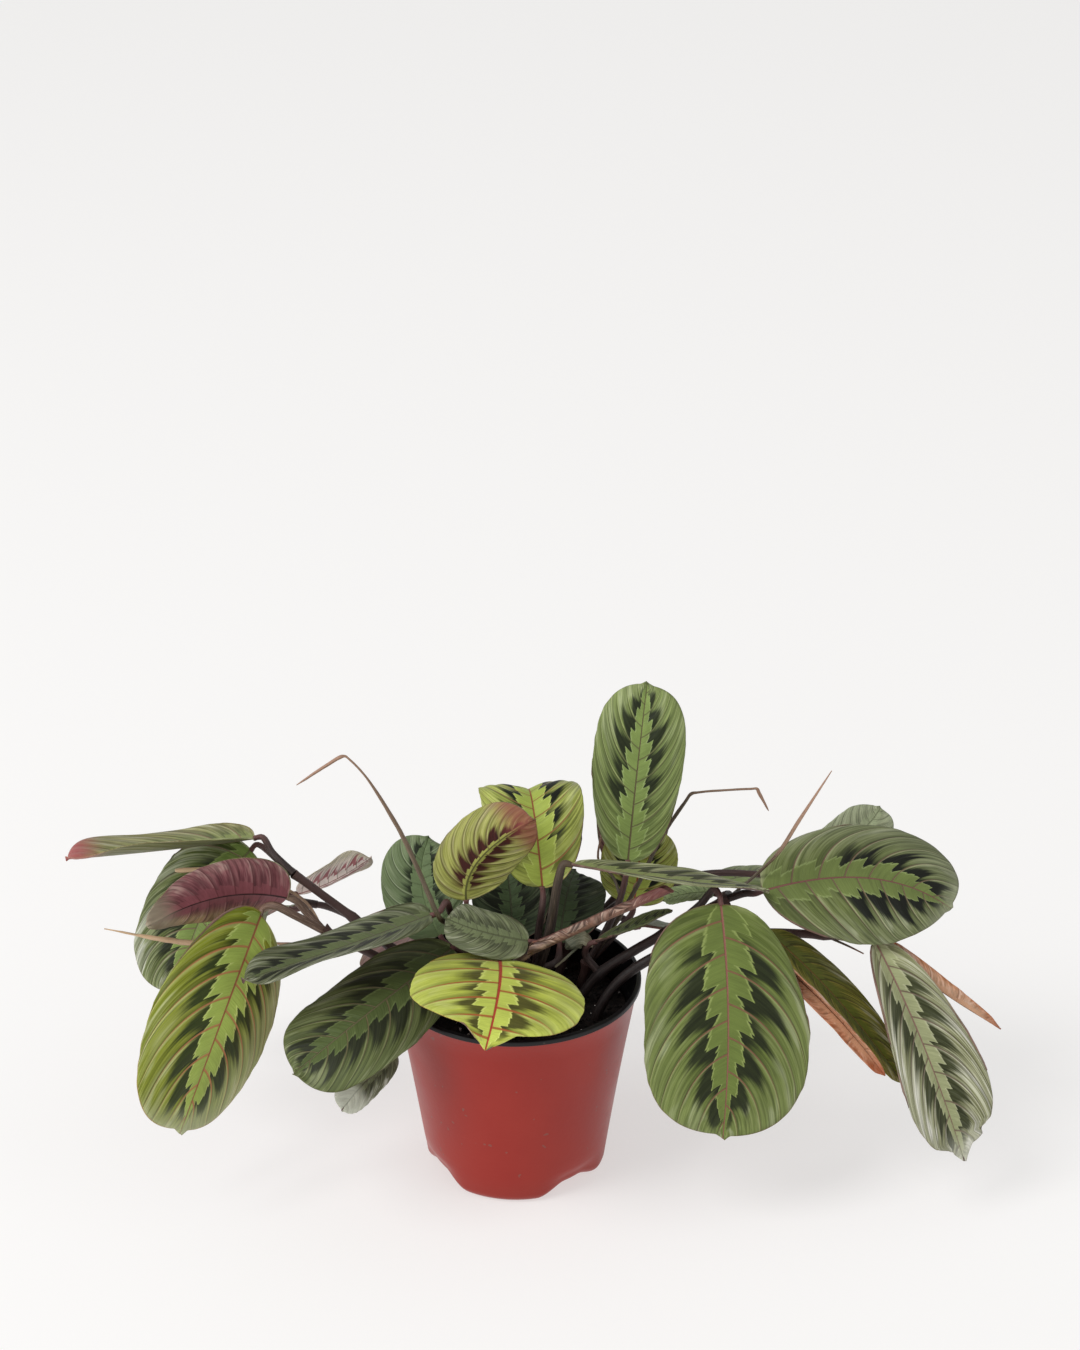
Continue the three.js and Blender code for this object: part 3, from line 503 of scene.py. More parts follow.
bladeMesh = {"rows": 96, "columns": 48, "hiddenRows": 40, "hiddenColumns": 20, "pleat": 1.0, "rib": 1.1,
             "thickness": 0.45, "lift": 0.4, "ripple": 0.013, "waves": 1.6, "waveShift": 0.3,
             "quicken": 2.2, "body": 0.9, "foot": 1.8, "footEase": 0.02, "end": 0.4, "straight": 0.4,
             "bowed": 0.6, "spread": 1.5, "pleatEnds": 14, "ruffles": 7, "fineRuffles": 22}


def marginSpot(blade, s, half, sweep):  # where the line that leaves the midrib at s meets the margin
    wide, blunt, full = blade["wide"], blade["blunt"], blade["full"]
    body, foot, end = bladeMesh["body"], bladeMesh["foot"], bladeMesh["end"]
    neck = blade["neck"][0 if half > 0 else 1]
    slack, bow = sweep
    most = blade["width"] / 2
    last = 1 - math.asin((blade["acumen"] / most) ** (1 / full)) / math.pi  # where the short point begins
    share = last * (1 - slack * (1 - min(1, s / body)) ** bow)
    share *= 1 - math.exp(-s / bladeMesh["footEase"])
    lean = abs(math.cos(math.pi * share))
    y = wide * (1 - lean ** (2 / neck))
    if share >= 0.5:
        y = wide + (blunt - wide) * lean ** (2 / blade["point"])
    out = most * max(0, math.sin(math.pi * share)) ** full
    if s > body:
        part = (s - body) / (1 - body)
        y, out = y + (1 - y) * part, out + (end - out) * part
    return y, max(out, foot if share < 0.5 else end)


def midribAt(blade, y):
    base, tip = blade["base"], blade["tip"]
    pull = 2 * blade["mid"] - (base + tip) / 2
    spot = base * (1 - y) ** 2 + pull * 2 * y * (1 - y) + tip * y * y
    along = ((pull - base) * (1 - y) + (tip - pull) * y).normalized()
    side = along.cross(blade["face"]).normalized()
    return spot, along, side, side.cross(along)


def bladeSpot(blade, look, s, t, seed):
    m = bladeMesh
    half = (t > 0) - (t < 0)
    reach = abs(t)
    endY, endOut = marginSpot(blade, s, half, look["sweep"])
    y = s + (endY - s) * (m["straight"] * reach + m["bowed"] * reach ** 2)
    spot, along, side, up = midribAt(blade, y)
    out = endOut * (1 - (1 - reach) ** m["spread"])
    fold = math.radians(blade["fold"])
    bend = math.radians(blade["curl"] or 0.01) / (blade["width"] / 2)
    angle = fold + bend * out
    across = (math.sin(angle) - math.sin(fold)) / bend
    rise = (math.cos(fold) - math.cos(angle)) / bend
    phase = 1 - (1 - min(y, 1)) ** (1 / m["quicken"])
    wave = math.sin(2 * math.pi * (m["waves"] * phase + m["waveShift"] * half))
    rise += blade["wave"] * reach ** 2 * wave
    place = (s * look["veins"] + 0.5 * (half > 0)) % 1
    pleat = m["pleat"] * math.sin(math.pi * place) ** 2 * reach ** 0.7 * (1 - reach ** 4)
    pleat *= min(1, m["pleatEnds"] * s, m["pleatEnds"] * (1 - s))
    ruffle = noise.noise(Vector((y * m["ruffles"], half * 4, seed))) * reach ** 4
    finer = noise.noise(Vector((y * m["fineRuffles"], half * 4, seed + 9))) * reach ** 6
    across *= 1 + m["ripple"] * (ruffle + finer)
    for at, bitten, span, depth in blade["bites"]:
        if bitten == half and abs(y - at) < span:
            across *= 1 - depth * (1 - abs(y - at) / span) * reach ** 2
    lift = m["lift"] + pleat + 0.5 * ruffle
    tilt = half * angle
    spot = spot + side * (half * across - math.sin(tilt) * lift) + up * (rise + math.cos(tilt) * lift)
    return spot, half * across, y


def meshObject(name, bm):  # bm is in millimetres
    bmesh.ops.scale(bm, vec=(0.001,) * 3, verts=bm.verts)
    mesh = bpy.data.meshes.new(name)
    bm.to_mesh(mesh)
    bm.free()
    return addObject(name, mesh)


def finishPiece(name, bm, skins, nodes, sharp=None):
    piece = meshObject(name, bm)
    for skin in skins:
        piece.data.materials.append(skin)
    piece.data.shade_smooth()
    if sharp:
        piece.data.set_sharp_from_angle(angle=math.radians(sharp))
    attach(piece, "root")
    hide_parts(*nodes)
    return piece


def camel(name):
    first, *rest = name.split("_")
    return first + "".join(word.title() for word in rest)


def growBlade(node, blade, seed):
    look = {**plainLeaf, **leafKinds[blade["look"]]}
    kind = ("hiddenRows", "hiddenColumns") if node.startswith("leaf_back_") else ("rows", "columns")
    rows, columns = [bladeMesh[k] for k in kind]
    bm = bmesh.new()
    bmesh.ops.create_grid(bm, x_segments=columns, y_segments=rows, size=1)
    veins, flat = [bm.loops.layers.uv.new(label) for label in ("veins", "flat")]
    ribs, spots = [], {}
    for vert in bm.verts:
        s, t = ((vert.co.y + 1) / 2) ** 1.5, vert.co.x
        vert.co, out, y = bladeSpot(blade, look, s, t, seed)
        spots[vert] = (s, t, out, y)
        ribs.append((vert.index, max(0, 1 - abs(out) / 1.5) * (1 - y)))
    for face in bm.faces:
        middle = sum(spots[v][1] for v in face.verts) / 4
        for loop in face.loops:
            s, t, out, y = spots[loop.vert]
            loop[veins].uv = (s, t or math.copysign(0.0001, middle))
            loop[flat].uv = (out, y)
    name = camel(node)
    skins = [leafSkin(name + side, blade["look"], seed, side == "Under") for side in ("Upper", "Under")]
    piece = finishPiece(name, bm, skins, [node])
    rib = piece.vertex_groups.new(name="rib")
    for index, weight in ribs:
        if weight > 0:
            rib.add([index], weight, "REPLACE")
    shell = piece.modifiers.new("thickness", "SOLIDIFY")
    shell.thickness = bladeMesh["rib"] / 1000
    shell.offset = -1
    shell.vertex_group = "rib"
    shell.thickness_vertex_group = bladeMesh["thickness"] / bladeMesh["rib"]
    shell.material_offset = 1
    shell.material_offset_rim = 0


for number, (node, plan) in enumerate(bladePlan.items()):
    growBlade(node, plan, 3.7 * number + 1)
print("blades grown:", len(bladePlan))


# Shoots: stems, petioles and bare flower stalks, each swept along its own path. Millimetres; a point without
# a height stands at the soil. thick rows give a stalk's thickness: place along the path's points, radius and
# how flat it is.
def shoot(stem, petioles, stalks=(), **kinds):  # kinds names the petioles that aren't plain
    return {"stem": stem, "petioles": petioles, "kinds": kinds, "stalks": stalks}


def stalk(path, thick, kind="stalk", crumple=0):
    return {"path": path, "thick": thick, "kind": kind, "crumple": crumple}


shootPlan = {
    "shoot_left": shoot([(-33, 8), (-49, 8, 113), (-67, 8, 129), (-90, 9, 150), (-122, 9, 178)], {
        "leaf_far_left": [(-122, 9, 178), (-134, 18, 186)],
        "leaf_left_round": [(-90, 9, 150), (-109, 20, 160), (-131, 33, 172)],
        "leaf_back_far_left": [(-67, 8, 129), (-89, 34, 134), (-113, 52, 134)],
        "leaf_left_small": [(-113, 52, 134), (-125, 50, 138)],
    }),
    "shoot_left_low": shoot([(-29, -8), (-47, -6, 114), (-69, -4, 128), (-106, 0, 147)], {
        "leaf_left_purple": [(-106, 0, 147), (-115, 7, 154)],
        "leaf_left_hanging": [(-106, 0, 147), (-121, -4, 159), (-133, -3, 165)],
    }, leaf_left_purple="sheath", leaf_left_hanging="sheath", stalks=[
        stalk([(-69, -4, 128), (-93, 0, 137), (-118, 1, 138), (-143, 0, 139), (-167, -1, 139),
            (-197, -1, 143), (-227, 0, 149)], [(0, 1.0, 1), (3, 0.8, 1), (3.8, 1.4, 0.8), (4.3, 2.3, 0.6),
            (5.1, 2.0, 0.6), (5.4, 0.9, 0.7), (6, 0.3, 1)], crumple=0.3, kind="runner"),
        stalk([(-106, 0, 147), (-117, 14, 158), (-137, 17, 169), (-159, 13, 178), (-187, 8, 181)],
            [(0, 0.9, 1), (2.6, 0.9, 1), (3.2, 2.1, 0.7), (3.9, 2.2, 0.6), (4, 1.4, 0.5)], kind="runner"),
    ]),
    "shoot_front": shoot([(-5, -2), (-5, -2, 112)], {
        "leaf_front_bright": [(-5, -2, 110), (-8, -4, 124), (-9, -9, 134)],
        "leaf_mid_small": [(-5, -2, 110), (1, 0, 122), (9, -3, 136)],
        "leaf_front_dark": [(-5, -2, 110), (-15, 2, 130), (-25, 0, 142)],
        "leaf_left_slanting": [(-5, -2, 110), (-21, 0, 136), (-35, -2, 158), (-38, -9, 170)],
        "leaf_under_dark": [(-5, -2, 110), (-17, -14, 117), (-33, -28, 122), (-49, -42, 125),
            (-59, -49, 117)],
        "rolled_leaf": [(-5, -2, 110), (-3, -6, 124), (0, -12, 133)],
    }, rolled_leaf="sheath", stalks=[
        stalk([(-5, -2, 110), (-27, 4, 130), (-38, 1, 150), (-41, -12, 161), (-43, -20, 170),
            (-55, -9, 196), (-63, -3, 212), (-81, 6, 240), (-89, 9, 248), (-92, 10, 250), (-95, 10, 249),
            (-119, 15, 230)], [(0, 1.5, 1), (4, 1.4, 1), (5, 1.9, 0.7), (6.2, 2.0, 0.6), (6.9, 0.8, 0.8),
            (8.5, 0.6, 1), (9.2, 1.0, 0.8), (10.2, 2.1, 0.5), (10.7, 1.9, 0.4), (11, 0.4, 0.6)],
            crumple=0.2),
    ]),
    "shoot_middle": shoot([(11, 10), (11, 10, 116)], {
        "leaf_long_edge": [(11, 10, 114), (15, 0, 130), (19, -5, 150), (24, -6, 184)],
        "leaf_mid_upright": [(11, 10, 114), (13, 11, 140), (15, 9, 157)],
        "leaf_mid_blotched": [(11, 10, 114), (-5, 12, 136), (-19, 8, 152)],
        "leaf_round_spotted": [(11, 10, 114), (-9, 14, 122), (-29, 13, 126)],
        "leaf_shade_left": [(11, 10, 114), (3, 15, 122)],
        "leaf_shade_right": [(11, 10, 114), (23, 11, 120)],
    }, leaf_long_edge="wrapped"),
    "shoot_tall": shoot([(37, 22), (41, 23, 112)], {
        "leaf_tall": [(41, 23, 112), (51, 25, 132), (59, 27, 152)],
        "leaf_behind_tall": [(41, 23, 112), (57, 33, 126)],
    }, stalks=[
        stalk([(41, 23, 112), (57, 28, 136), (70, 35, 158), (82, 51, 176), (96, 55, 198), (99, 56, 202),
            (103, 56, 203), (132, 56, 205), (136, 56, 205), (137, 56, 203), (143, 56, 191)], [(0, 1.5, 1),
            (3, 1.2, 1), (4.6, 1.0, 0.9), (5, 1.3, 0.8), (6, 1.0, 0.6), (7.6, 0.8, 0.8), (8.3, 1.2, 0.8),
            (9.3, 1.9, 0.5), (9.8, 1.4, 0.4), (10, 0.3, 0.6)], crumple=0.2),
        stalk([(59, 27, 152), (55, 36, 160), (47, 44, 166), (50, 50, 186)], [(0, 1.0, 1), (2, 0.7, 1),
            (3, 0.5, 1)]),
    ]),
    "shoot_right": shoot([(35, 2), (47, 1, 118), (63, -1, 132), (83, -2, 146), (103, 0, 158),
        (117, 4, 164)], {
        "leaf_right_spread": [(117, 4, 164), (127, 8, 165)],
        "leaf_right_hanging": [(83, -2, 146), (101, -4, 164), (109, -7, 176)],
        "leaf_right_lobe": [(117, 4, 164), (118, 11, 163)],
        "leaf_right_thin": [(47, 1, 118), (39, 5, 128)],
    }, stalks=[
        stalk([(117, 4, 164), (125, 14, 165), (133, 17, 171), (145, 8, 191), (155, 5, 212), (171, 0, 245)],
            [(0, 0.9, 1), (2.6, 0.9, 1), (3.2, 1.5, 0.6), (4, 1.5, 0.5), (4.5, 0.9, 0.6), (5, 0.25, 1)]),
        stalk([(29, 8, 130), (33, 7, 136), (38, 6, 138), (43, 6, 133)], [(0, 1.2, 1), (0.6, 4.5, 0.8),
            (1.4, 5.5, 0.9), (2.2, 4.2, 0.8), (3, 0.8, 1)], crumple=1.1, kind="scrap"),
        stalk([(35, 6, 133), (29, 3, 128), (22, 0, 123)], [(0, 1.0, 1), (2, 0.6, 1)], crumple=0.3,
            kind="scrap"),
    ]),
    "shoot_right_low": shoot([(45, -12), (57, -11, 120), (77, -11, 136), (103, -9, 145), (139, 4, 142),
        (171, 3, 141), (193, -2, 142)], {
        "leaf_far_right": [(193, -2, 142), (193, -3, 148)],
        "leaf_right_olive": [(119, -4, 144), (131, -4, 151)],
        "dried_leaf_right": [(119, -4, 144), (127, -12, 146), (134, -17, 144)],
        "dried_leaf_far_right": [(193, -2, 142), (196, -2, 144)],
    }, stalks=[
        stalk([(171, 3, 141), (185, -1, 136), (193, -4, 133)], [(0, 0.9, 1), (1, 0.6, 1), (2, 0.4, 1)]),
    ]),
    "shoot_back": shoot([(-1, 34), (-3, 38, 118)], {
        "leaf_back_left": [(-3, 38, 116), (-9, 44, 132)],
        "leaf_back_middle": [(-3, 38, 116), (6, 46, 126)],
        "leaf_back_low_left": [(-3, 38, 116), (-19, 48, 125), (-34, 60, 126)],
    }),
    "shoot_back_right": shoot([(25, 34), (31, 38, 118)], {
        "leaf_back_low_right": [(31, 38, 116), (47, 45, 127), (61, 49, 126)],
        "leaf_back_tall": [(31, 38, 116), (47, 54, 124), (60, 63, 136)],
        "leaf_back_far_right": [(31, 38, 116), (63, 46, 138), (93, 54, 146)],
        "leaf_right_back": [(31, 38, 116), (63, 46, 140), (107, 46, 156), (145, 48, 154)],
    }, stalks=[
        stalk([(63, 46, 140), (65, 45, 146), (69, 45, 152)], [(0, 1.6, 1), (1, 2.2, 0.5), (1.7, 1.5, 0.4),
            (2, 0.3, 0.4)], crumple=0.3),
    ]),
}

# Thickness along each kind of tube: share of the way, radius and how flat it is
tubeKinds = {
    "stem": [(0, 3.0, 1), (0.5, 2.8, 1), (1, 2.2, 1)],
    "petiole": [(0, 2.5, 0.9), (0.25, 2.4, 0.9), (0.6, 1.8, 1), (0.9, 1.4, 1), (0.96, 1.7, 1), (1, 1.4, 1)],
    "sheath": [(0, 2.6, 0.8), (0.4, 3.0, 0.7), (0.8, 2.4, 0.7), (0.96, 1.6, 0.9), (1, 1.3, 1)],
    "wrapped": [(0, 3.2, 0.9), (0.35, 3.6, 0.8), (0.7, 2.8, 0.8), (0.96, 1.8, 0.9), (1, 1.4, 1)],
}
shootMesh = {"sides": 12, "stalkSides": 8, "step": 2.2, "soilTop": 96, "rootDepth": 12, "collar": 2.5,
             "swelling": 0.28, "swellReach": 3.5, "runIn": 4.5, "runOn": 0.4, "aim": 0.004,
             "lumps": 0.16, "roundLumps": 1.4, "sharp": 50}


def splineSpot(points, share):  # a centripetal spline, as the model's tubes follow
    last = len(points) - 1
    index = min(int(last * share), last - 1)
    part = last * share - index
    b, c = points[index], points[index + 1]
    a = points[index - 1] if index else 2 * b - c
    d = points[index + 2] if index + 2 <= last else 2 * c - b
    one, two, three = [max((q - p).length, 0.0001) ** 0.5 for p, q in ((a, b), (b, c), (c, d))]
    leave = ((b - a) / one - (c - a) / (one + two) + (c - b) / two) * two
    meet = ((c - b) / two - (d - b) / (two + three) + (d - c) / three) * two
    return (b + leave * part + (3 * (c - b) - 2 * leave - meet) * part ** 2
            + (2 * (b - c) + leave + meet) * part ** 3)


def alongProfile(profile, share):
    for (a, radiusA, flatA), (b, radiusB, flatB) in zip(profile, profile[1:]):
        if share <= b:
            part = (share - a) / (b - a)
            return radiusA + (radiusB - radiusA) * part, flatA + (flatB - flatA) * part
    return profile[-1][1:]


def growTube(bm, points, profile, sides, material, swellings=(), crumple=0):
    m = shootMesh
    points = [Vector(p) for p in points]
    length = sum((b - a).length for a, b in zip(points, points[1:]))
    steps = max(4, round(length / m["step"]))
    across = Vector((0, 1, 0))
    rings = []  # the vertices of each ring, how far along it lies in millimetres, and its share of the way
    done, before = 0, None
    for step in range(steps + 1):
        share = step / steps
        spot = splineSpot(points, share)
        ahead = splineSpot(points, min(1, share + m["aim"])) - splineSpot(points, max(0, share - m["aim"]))
        ahead.normalize()
        across = (across - ahead * across.dot(ahead)).normalized()
        other = ahead.cross(across)
        if before:
            done += (spot - before).length
        before = spot
        radius, flat = alongProfile(profile, share)
        for at in swellings:
            near = math.exp(-((spot - Vector(at)).length / m["swellReach"]) ** 2)
            radius *= 1 + m["swelling"] * near
        ring = []
        for turn in range(sides):
            angle = 2 * math.pi * turn / sides
            toward = across * math.cos(angle) + other * math.sin(angle) * flat
            lump = noise.noise(spot * m["lumps"] + toward * m["roundLumps"])
            ring.append(bm.verts.new(spot + toward * radius * (1 + crumple * lump)))
        rings.append((ring, done, share))
    maps = [bm.loops.layers.uv[label] for label in ("round", "share")]
    corners, faces = [], []
    for lower, upper in zip(rings, rings[1:]):
        corners += [[(*lower, t), (*lower, t + 1), (*upper, t + 1), (*upper, t)] for t in range(sides)]
    for end in (rings[0], rings[-1]):
        corners.append([(*end, t) for t in range(sides)])
    for spots in corners:
        face = bm.faces.new([ring[turn % sides] for ring, way, share, turn in spots])
        face.material_index = material
        faces.append(face)
        for loop, (ring, way, share, turn) in zip(face.loops, spots):
            loop[maps[0]].uv = (turn / sides, way)
            loop[maps[1]].uv = (share, turn / sides)
    bmesh.ops.recalc_face_normals(bm, faces=faces)


# Colour at the foot, of the pale lines and at the far end, and how strong the lines are
stemLooks = {
    "stem": ((30, 23, 22), (76, 60, 55), (76, 53, 49), 0.5),
    "petiole": ((46, 34, 32), (112, 88, 80), (112, 74, 70), 0.5),
    "sheath": ((96, 74, 62), (154, 130, 112), (122, 96, 80), 0.9),
    "wrapped": ((38, 31, 27), (92, 76, 64), (84, 68, 52), 0.8),
    "stalk": ((84, 76, 60), (142, 122, 102), (172, 134, 112), 0.6),
    "runner": ((150, 118, 96), (226, 202, 172), (214, 180, 142), 0.6),
    "scrap": ((104, 108, 88), (164, 164, 140), (136, 126, 100), 0.8),
}
stemFinish = {"blots": (34, 24, 22), "round": 3.2, "stretch": 0.05, "blotStretch": 0.12, "gloss": 0.4,
              "strength": 0.5, "depth": 0.0006}


def stemSkin(name, foot, light, far, strength):
    f = stemFinish
    skin, w, shader = newSkin(name, Specular_IOR_Level=f["gloss"])
    turn, way = w.split(w.map("round"))[:2]
    share = w.split(w.map("share"))[0]
    spin = turn * (2 * math.pi)
    east, north = w.math("COSINE", spin), w.math("SINE", spin)
    spot = w.vector(east * f["round"], north * f["round"], way * f["stretch"])
    lines = w.noise(spot, scale=1.6, detail=4, roughness=0.7)
    blots = w.noise(w.vector(way * f["blotStretch"], east, share), detail=3)
    color = w.blend(w.ease(share, 0.3, 1.0), paint(*foot), paint(*far))
    color = w.blend(w.ease(lines, 0.48, 0.66) * strength, color, paint(*light))
    color = w.blend(w.ease(blots, 0.42, 0.3, 0.0, 0.6), color, paint(*f["blots"]))
    roughness = w.ease(lines, 0.3, 0.7, 0.38, 0.62)
    finishSkin(w, shader, color, roughness, lines, f["strength"], f["depth"])
    return skin


stemSkins = [stemSkin(kind + "Skin", *look) for kind, look in stemLooks.items()]
tubeOrder = list(stemLooks)


def growShoot(node, plan):
    m = shootMesh
    bm = bmesh.new()
    for label in ("round", "share"):
        bm.loops.layers.uv.new(label)
    (x, y), *rest = plan["stem"]
    starts = [points[0] for points in plan["petioles"].values()] + [k["path"][0] for k in plan["stalks"]]
    path = [(x, y, m["soilTop"] - m["rootDepth"]), (x, y, m["soilTop"] + m["collar"]), *rest]
    growTube(bm, path, tubeKinds["stem"], m["sides"], 0, starts)
    for leaf, points in plan["petioles"].items():
        spot, along = midribAt(bladePlan[leaf], 0)[:2]
        kind = plan["kinds"].get(leaf, "petiole")
        path = [*points, spot - along * m["runIn"], spot + along * m["runOn"]]
        growTube(bm, path, tubeKinds[kind], m["sides"], tubeOrder.index(kind))
    for part in plan["stalks"]:
        last = len(part["path"]) - 1
        profile = [(index / last, radius, flat) for index, radius, flat in part["thick"]]
        kind = tubeOrder.index(part["kind"])
        growTube(bm, part["path"], profile, m["stalkSides"], kind, crumple=part["crumple"])
    finishPiece(camel(node), bm, stemSkins, [node], m["sharp"])


for node, plan in shootPlan.items():
    growShoot(node, plan)
print("shoots grown:", len(shootPlan))


# Pot: thin plastic, red outside and black inside and round the lip. Millimetres.
potShape = {
    "height": 118, "rim": 70, "lipHeight": 3, "wall": 1.4, "base": 50, "round": 6, "lean": 0.137,
    "flare": 0.00019, "steps": 144, "notches": (-152, -49, 82), "halfSpan": 28, "ramp": 0.2, "rise": 5.5,
    "inset": 2, "notchLow": 3, "notchTop": 20, "notchIn": 14, "notchOut": 6, "drains": 6,
    "drainRadius": 3.5, "drainRing": 27, "drainSides": 28, "drainDepth": 8, "sharp": 40,
}
# Each plastic: its colour, where it is scuffed, its dust, and how rough it is at the least
potColours = {
    "redPlastic": ((152, 33, 20), (164, 47, 32), (116, 84, 74), 0.3),
    "blackPlastic": ((14, 14, 16), (26, 26, 28), (70, 64, 60), 0.34),
}
potFinish = {"mottles": 26, "fine": 420, "specks": 230, "spunRound": 30, "spunUp": 900, "gloss": 0.34,
             "strength": 0.12, "depth": 0.0004}


def smooth(value, low, high):
    part = min(1, max(0, (value - low) / (high - low)))
    return part * part * (3 - 2 * part)


def potRadius(z):
    return potShape["base"] + potShape["lean"] * z + potShape["flare"] * z * z


def notchFoot(vert):  # lifts and pulls in the foot, so that water runs out under it
    p = potShape
    r = math.hypot(vert.co.x, vert.co.y)
    angle = math.degrees(math.atan2(vert.co.y, vert.co.x))
    nearest = min(abs((angle - a + 540) % 360 - 180) for a in p["notches"])
    amount = 1 - smooth(nearest, p["halfSpan"] * p["ramp"], p["halfSpan"])
    amount *= smooth(r, p["base"] - p["notchIn"], p["base"] - p["notchOut"])
    amount *= 1 - smooth(vert.co.z, p["notchLow"], p["notchTop"])
    pulled = (r - p["inset"] * amount) / (r or 1)
    vert.co = (vert.co.x * pulled, vert.co.y * pulled, vert.co.z + p["rise"] * amount)


def spinProfile(bm, profile, steps):  # turns a line of (radius, height) once round the axis
    verts = [bm.verts.new((r, 0, z)) for r, z in profile]
    edges = [bm.edges.new(pair) for pair in zip(verts, verts[1:])]
    bmesh.ops.spin(bm, geom=verts + edges, cent=(0, 0, 0), axis=(0, 0, 1), angle=2 * math.pi, steps=steps,
                   use_merge=True)
    bmesh.ops.remove_doubles(bm, verts=bm.verts, dist=0.001)
    bmesh.ops.recalc_face_normals(bm, faces=bm.faces)


def potPlastic(name, base, scuff, dust, smoothest):
    f = potFinish
    skin, w, shader = newSkin(name, Specular_IOR_Level=f["gloss"])
    place = w.add("ShaderNodeTexCoord")["Object"]
    x, y, z = w.split(place)
    mottled = w.noise(place, scale=f["mottles"], detail=4)
    fine = w.noise(place, scale=f["fine"], detail=2)
    spun = w.noise(w.vector(x * f["spunRound"], y * f["spunRound"], z * f["spunUp"]), detail=3)
    specks = w.noise(place, scale=f["specks"], detail=1)
    color = w.blend(w.ease(mottled, 0.35, 0.7, 0.0, 0.35), paint(*base), paint(*scuff))
    color = w.blend(w.ease(spun, 0.6, 0.75, 0.0, 0.18), color, paint(*scuff))
    color = w.blend(w.ease(z, 0.02, 0.0, 0.0, 0.1), color, paint(*dust))
    color = w.blend(w.ease(specks, 0.735, 0.76, 0.0, 0.55), color, paint(*dust))
    roughness = w.ease(mottled, 0.3, 0.7, smoothest, smoothest + 0.12)
    finishSkin(w, shader, color, roughness, spun * 0.3 + fine, f["strength"], f["depth"])
    return skin


def potProfile():  # from the middle underneath, up the outside, over the lip and down the inside
    p = potShape
    top, rim, base, bend, wall = p["height"], p["rim"], p["base"], p["round"], p["wall"]
    foot = top - p["lipHeight"]
    corner = [math.pi / 2 * step / 7 for step in range(8)]
    return [
        (0, 0), (20, 0), (base - 14, 0), (base - 10, 0),
        *((potRadius(bend) - bend * (1 - math.sin(a)), bend * (1 - math.cos(a))) for a in corner),
        *((potRadius(z), z) for z in (9, 12, 15, 18, 24, 36, 50, 64, 78, 90, 102, foot - 0.6)),
        (potRadius(foot) + 0.2, foot - 0.1), (rim - 0.5, foot), (rim, foot + 0.5), (rim, top - 0.8),
        (rim - 0.25, top - 0.25), (rim - 0.8, top),
        *((potRadius(z) - wall, z) for z in (top, top - 0.6, 102, 88, 70, 50, 30, 18, 12, 9)),
        (base - 3.5, wall + 2.2), (base - 7, wall), (base - 14, wall), (20, wall), (0, wall),
    ]


def drillDrains(pot):
    p = potShape
    bm = bmesh.new()
    for number in range(p["drains"]):
        angle = 2 * math.pi * number / p["drains"]
        spot = (p["drainRing"] * math.cos(angle), p["drainRing"] * math.sin(angle), 0)
        bmesh.ops.create_cone(bm, cap_ends=True, segments=p["drainSides"], radius1=p["drainRadius"],
                              radius2=p["drainRadius"], depth=p["drainDepth"],
                              matrix=Matrix.Translation(spot))
    drains = meshObject("drains", bm)
    cut = pot.modifiers.new("drains", "BOOLEAN")
    cut.operation = "DIFFERENCE"
    cut.object = drains
    cut.solver = "EXACT"
    bpy.context.view_layer.update()
    drilled = bpy.data.meshes.new_from_object(pot.evaluated_get(bpy.context.evaluated_depsgraph_get()))
    pot.modifiers.clear()
    pot.data = drilled
    drilled.name = "growerPot"
    bpy.data.objects.remove(drains)


def makePot():
    bm = bmesh.new()
    spinProfile(bm, potProfile(), potShape["steps"])
    for vert in bm.verts:
        notchFoot(vert)
    lip = potShape["height"] - potShape["lipHeight"] - 0.3
    for face in bm.faces:
        spot = face.calc_center_median()
        outside = face.normal.dot(Vector((spot.x, spot.y, 0))) > 0.3 or face.normal.z < -0.7
        face.material_index = 0 if outside and spot.z < lip else 1
    skins = [potPlastic(name, *values) for name, values in potColours.items()]
    drillDrains(finishPiece("growerPot", bm, skins, ["pot"], potShape["sharp"]))


makePot()
print("pot made")


# Potting soil: black peat with crumbs, bits of root and white perlite
soilShape = {"top": 96, "crown": 2.5, "steps": 90, "rings": 26, "gap": 0.7, "crumbs": 420, "perlite": 46,
             "spread": 61, "edge": 62, "calm": 55, "rough": 1.1, "goldenAngle": 2.39996, "seed": 11,
             "sharp": 60, "smallest": 0.7, "crumbRange": 1.4, "perliteRange": 0.5}
soilColours = {"peat": ((16, 13, 12), (44, 36, 32), 0.95),
               "perlite": ((176, 172, 166), (222, 220, 214), 0.9)}
soilFinish = {"lumps": 240, "fibres": 1300, "gloss": 0.25, "strength": 0.8, "depth": 0.0015}


def soilSkin(name, dark, light, rough):
    f = soilFinish
    skin, w, shader = newSkin(name, Specular_IOR_Level=f["gloss"])
    place = w.add("ShaderNodeTexCoord")["Object"]
    lumps = w.noise(place, scale=f["lumps"], detail=6, roughness=0.7)
    fibres = w.noise(place, scale=f["fibres"], detail=3, roughness=0.6)
    color = w.blend(w.ease(lumps, 0.4, 0.66), paint(*dark), paint(*light))
    color = w.blend(w.ease(fibres, 0.58, 0.72, 0.0, 0.5), color, paint(*light))
    roughness = w.ease(fibres, 0.3, 0.7, rough - 0.15, rough)
    finishSkin(w, shader, color, roughness, fibres * 0.4 + lumps, f["strength"], f["depth"])
    return skin


